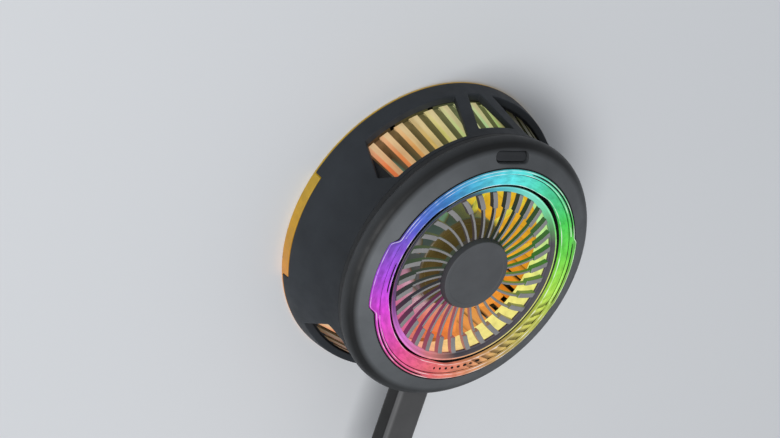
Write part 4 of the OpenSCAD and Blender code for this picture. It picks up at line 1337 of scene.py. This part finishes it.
def make_ring_lines():
    """Dark lines round the ring and beside the lip, the groove's liner and sleeve of painted shade,
    slots, and dashes that are partly painted shadow.
    """
    around = ring_lathe(strip(RING_OUT - 0.02, 20.31, 0.26, 0.22))
    beside_lip = strip(LIP_R - 0.17, 20.1, 0.15, 0.3)
    # The liner and the sleeve: black sheets of painted shade in the groove
    liner = [
        (BAND_IN - 0.02, 17.6), (BAND_IN - 0.02, 19.7),
        (COLLAR_R + 0.02, 18.8), (COLLAR_R + 0.02, 17.6),
    ]
    sleeve = [
        (COLLAR_R, 17.8), (COLLAR_R + 0.1, 17.8), (COLLAR_R + 0.1, 20.1), (COLLAR_R, 20.18),
    ]
    slots = [
        arc_inlay(19.85, 0.26, 172, 190, 19.8, 20.5),
        arc_inlay(21.75, 0.22, 343, 377, 20.0, 20.62),
        *(arc_inlay(21.66, 0.3, a, a + 54, 20.3, RING_TOP - 0.02) for a in (23, 203)),
    ]
    # Dashes on the lower right: dark gaps between the ribs, partly painted shadow of the lights under
    # the ring
    for a in spread(263, 291, 7):
        slots.append(arc_inlay(20.0, 0.46, a, a + 1 + (a - 263) / 15, 19.8, 20.52))
    lines = [lathe(p, full_turn(192)) for p in (beside_lip, liner, sleeve)]
    piece("ring_lines", joined(around, *lines, *slots), "body", BLACK)


def make_collar():
    profile = rounded(
        [
            (INTAKE_R, COLLAR_Z, 0.05), (COLLAR_R, COLLAR_Z, 0.05), (COLLAR_R, 20.25, 0.1),
            (COLLAR_R - 0.36, 20.2, 0.08), (INTAKE_R, 19.5, 0.05),
        ]
    )
    collar = lathe(profile, full_turn(192))
    piece("collar", collar, "body", COLLAR, ["ring_collar"], even=True)


# Grille and its cap

VANE_PHASE = 0.5
GRILLE_RIM_OUT = 17.55
GRILLE_RIM_Z = (19.25, 19.7)


def vane_angle(r):
    return VANE_SWEEP * max(0, (r - BOSS_R) / (RIM_IN - BOSS_R)) ** 1.5


def vane_section(r, right, high):
    """A vane's section at a radius: an upright strip with rounded upper edges."""
    left = -VANE_T / 2
    edge = 0.12
    outline = rounded(
        [(left, VANE_LOW, 0), (right, VANE_LOW, 0), (right, high, edge), (left, high, edge)], 3
    )
    return [polar(r, vane_angle(r) + arc_angle(offset, r), z) for offset, z in outline]


def vane():
    """A thin strip all the way out, and a wider and higher block outside the step."""
    thin = [
        vane_section(r, VANE_T / 2, THIN_TOP) for r in spread(BOSS_R - 0.2, RIM_IN + 0.2, 14)
    ]
    wide = BLOCK_W - VANE_T / 2
    block = [
        vane_section(STEP_R, wide, GRILLE_TOP - 0.1),
        *(vane_section(r, wide, GRILLE_TOP) for r in spread(STEP_R + 0.12, RIM_IN - 0.05, 5)),
        vane_section(RIM_IN + 0.05, wide, GRILLE_TOP - 0.1),
    ]
    return joined(sweep(thin), sweep(block))


def make_grille():
    one = vane()
    vanes = [turned(one, (i + VANE_PHASE) * 360 / VANES) for i in range(VANES)]
    boss = [(0.02, GRILLE_Z), (BOSS_R, GRILLE_Z), (BOSS_R, THIN_TOP), (0.02, THIN_TOP)]
    grille = joined(*vanes, lathe(boss, full_turn(96)))
    piece("grille", grille, "body", GRILLE, ["intake_grille"], even=True)


def make_grille_rim():
    """The rim that the vanes end in, and the slope from it up to the collar's edge."""
    low, high = GRILLE_RIM_Z
    rim = rounded(
        [
            (RIM_IN, low, 0.05), (GRILLE_RIM_OUT, low, 0.05),
            (GRILLE_RIM_OUT, high, 0.12), (RIM_IN, high, 0.12),
        ]
    )
    slope = [
        (COLLAR_R - 0.36, 20.14), (COLLAR_R - 0.3, 20.23), (COLLAR_R - 0.42, 20.23),
        (INTAKE_R - 0.06, 19.5),
    ]
    rims = joined(*(lathe(profile, full_turn(160)) for profile in (rim, slope)))
    piece("grille_rim", rims, "body", RIM, even=True)


def make_cap():
    profile = rounded(
        [
            (0.02, THIN_TOP, 0), (CAP_R + 0.4, THIN_TOP, 0.05), (CAP_R + 0.3, 19.85, 0.05),
            (CAP_R, CAP_TOP, 0.22), (6.1, CAP_TOP, 0.1), (6.0, CAP_TOP - 0.06, 0.1),
            (0.02, CAP_TOP - 0.06, 0),
        ]
    )
    cap = lathe(profile, full_turn(128))
    piece("cap", cap, "body", CAP, ["hub_cap"], even=True)


# Fan


def blade_section(r):
    """A cambered section of a blade, wrapped round the axis."""
    t = (r - HUB_R) / (BLADE_R - HUB_R)
    pitch = math.radians(48 - 12 * t)
    chord = 6.6 + 0.9 * t
    thick = 0.95 - 0.35 * t
    points = []
    for k in range(16):
        a = math.tau * k / 16
        along = chord / 2 * math.cos(a)
        bow = 0.09 * chord * (1 - (2 * along / chord) ** 2)
        across = thick / 2 * math.sin(a) + bow
        turn = along * math.cos(pitch) - across * math.sin(pitch)
        rise = along * math.sin(pitch) + across * math.cos(pitch)
        points.append(polar(r, arc_angle(turn, r), BLADE_Z + rise))
    return points


def make_fan():
    hub = rounded(
        [
            (0.02, HUB_TOP - 0.7, 0), (HUB_IN, HUB_TOP - 0.7, 0), (HUB_IN, HUB_Z, 0.1),
            (HUB_R, HUB_Z, 0.1), (HUB_R, HUB_TOP, 0.6), (8.2, HUB_TOP, 0.1),
            (8.0, HUB_TOP - 0.15, 0.1), (0.02, HUB_TOP - 0.15, 0),
        ]
    )
    blade = sweep([blade_section(r) for r in spread(HUB_R - 0.3, BLADE_R, 8)])
    blades = [turned(blade, 360 * i / BLADES) for i in range(BLADES)]
    fan = joined(lathe(hub, full_turn(96)), *blades)
    piece("fan", fan, "fan", FAN, ["fan_rotor"], even=True)


# Rear edge, plugs and tie


def make_glow_ring():
    """A thin ring under the wall, raised where it fills the notches."""
    half = NOTCH_HALF - 0.4
    profile = rounded(
        [
            (SKIRT_R, 0, 0.03), (GLOW_OUT, 0, 0.1),
            (GLOW_OUT, SOLE_Z, 0.1), (SKIRT_R, SOLE_Z, 0.03),
        ]
    )

    def raised(r, z, angle):
        if min(apart(angle, 0), apart(angle, 180)) < half and z > SOLE_Z / 2:
            z += NOTCH_Z - SOLE_Z - 0.1
        return r, z

    angles = full_turn(160, edges_at(-half, half, 180 - half, 180 + half))
    glow = lathe(profile, angles, raised)
    piece("rear_glow", glow, "body", GLOW_RING, ["glow_ring"], even=True)


def bar_section(y, width, height, radius, at):
    """A rounded rectangle across the plug's axis."""
    w, h = width / 2, height / 2
    return [(at.x + x, at.y - y, at.z + z) for x, z in rounded_box(-w, w, -h, h, radius)]


def grip_solid(at):
    """The moulded grip: a head, a shoulder and a long bar, from its face backwards."""
    soft = 0.3
    end = HEAD_L + GRIP_L
    stations = [
        (0, HEAD_W - 2 * soft, GRIP_H - 2 * soft), (0.1, HEAD_W - 0.2, GRIP_H - 0.2),
        (soft, HEAD_W, GRIP_H), (HEAD_L - soft, HEAD_W, GRIP_H),
        (HEAD_L - 0.08, HEAD_W - 0.15, GRIP_H), (HEAD_L, HEAD_W - 2 * soft, GRIP_H),
        (HEAD_L + 0.05, GRIP_W + 0.3, GRIP_H), (HEAD_L + 0.3, GRIP_W, GRIP_H),
        *((y, GRIP_W, GRIP_H) for y in spread(HEAD_L + 2, end - 2, 6)),
        (end - soft, GRIP_W, GRIP_H), (end - 0.08, GRIP_W - 0.3, GRIP_H - 0.3),
        (end, GRIP_W - 0.8, GRIP_H - 0.8),
    ]
    return sweep([bar_section(y, w, h, min(GRIP_R, h / 2 - 0.05), at) for y, w, h in stations])


def boot_solid(at):
    """The strain relief: a taper with grooves round it."""
    start = HEAD_L + GRIP_L
    stations = []
    for y in spread(0, BOOT_L, 60):
        r = 2.1 - 0.2 * y / BOOT_L
        groove = 0.28 * ease(1 - abs((y - 1.0) % 2 - 1) / 0.45) if 1.4 < y < 9.2 else 0
        if y > BOOT_L - 0.3:
            r -= 0.15 * (y - BOOT_L + 0.3) / 0.3
        stations.append((start + y, r - groove))
    return sweep([bar_section(y, 2 * r, 2 * r, r - 0.001, at) for y, r in stations])


def make_plug(name, at):
    grip_name, boot_name = name + "_grip", name + "_boot"
    grip = piece(
        grip_name + "_moulding", grip_solid(at), "lead", PLUG, [grip_name], even=True
    )
    boot = piece(
        boot_name + "_moulding", boot_solid(at), "lead", JACKET, [boot_name]
    )
    return [grip, boot, nodes[name + "_shell"]]


def tie_solid():
    """A strap round the coil's turns, with rounded corners."""
    inner = COIL_IN + TURN_PITCH / 2 - LEAD_D / 2 - TIE_T
    outer = COIL_R + LEAD_D / 2 + 0.1
    high = COIL_HIGH + LEAD_D / 2 + 0.1 + TIE_T
    half = TIE_W / 2

    def loop(x, thick):
        left, right = -outer - TIE_T + thick, -inner + TIE_T - thick
        outline = rounded_box(left, right, thick, high - thick, 1.8 - thick)
        return [(COIL_AT.x + x, COIL_AT.y + y, z) for y, z in outline]

    edges = [(-half, 0.06), (-half + 0.1, 0), (half - 0.1, 0), (half, 0.06)]
    loops = [loop(x, inset) for x, inset in edges]
    loops += [loop(x, TIE_T - inset) for x, inset in reversed(edges)]
    return [p for points in loops for p in points], loop_faces(len(loops), len(loops[0]))


def make_tie():
    return piece("tie", tie_solid(), "lead", STRAP, ["coil_tie"])


make_camera()
make_light()
dress_kept()
lead, lead_exit, lead_length = make_lead()
near_pieces = make_plug("plug", Vector((0, PLUG_FACE, SOCKET_Z)))
far_face = Vector((COIL_R, COIL_AT.y + LEAD_D + TAIL_L + BOOT_L + GRIP_L + HEAD_L, GRIP_H / 2))
far_pieces = make_plug("far", far_face)
make_tie()
make_housing()
make_fin_faces()
make_cover()
make_button()
make_ring()
make_ring_highlights()
make_ring_lines()
make_collar()
make_grille()
make_grille_rim()
make_cap()
make_fan()
make_glow_ring()


# Floor and world

WORLD_STRENGTH = 0.36
FLOOR_HALF = 3.0


def make_floor():
    f = Finish("floor")
    tone = f.ramp(f.noise(3), [(0.3, srgb(226, 229, 233)), (0.7, srgb(234, 236, 239))])
    f.surface(("Base Color", tone), ("Roughness", 0.7))
    mesh = bpy.data.meshes.new("floor")
    corners = [(x * FLOOR_HALF, y * FLOOR_HALF, 0) for x, y in ((-1, -1), (1, -1), (1, 1), (-1, 1))]
    mesh.from_pydata(corners, [], [(0, 1, 2, 3)])
    mesh.materials.append(f.material)
    floor = add_object("floor", mesh)
    floor.location.z = -0.02 * MM


def make_world():
    world = bpy.data.worlds.new("studio")
    world.use_nodes = True
    background = world.node_tree.nodes["Background"]
    background.inputs["Color"].default_value = srgb(240, 243, 247)
    background.inputs["Strength"].default_value = WORLD_STRENGTH
    bpy.context.scene.world = world


make_floor()
make_world()
bpy.context.scene.view_settings.view_transform = "Standard"
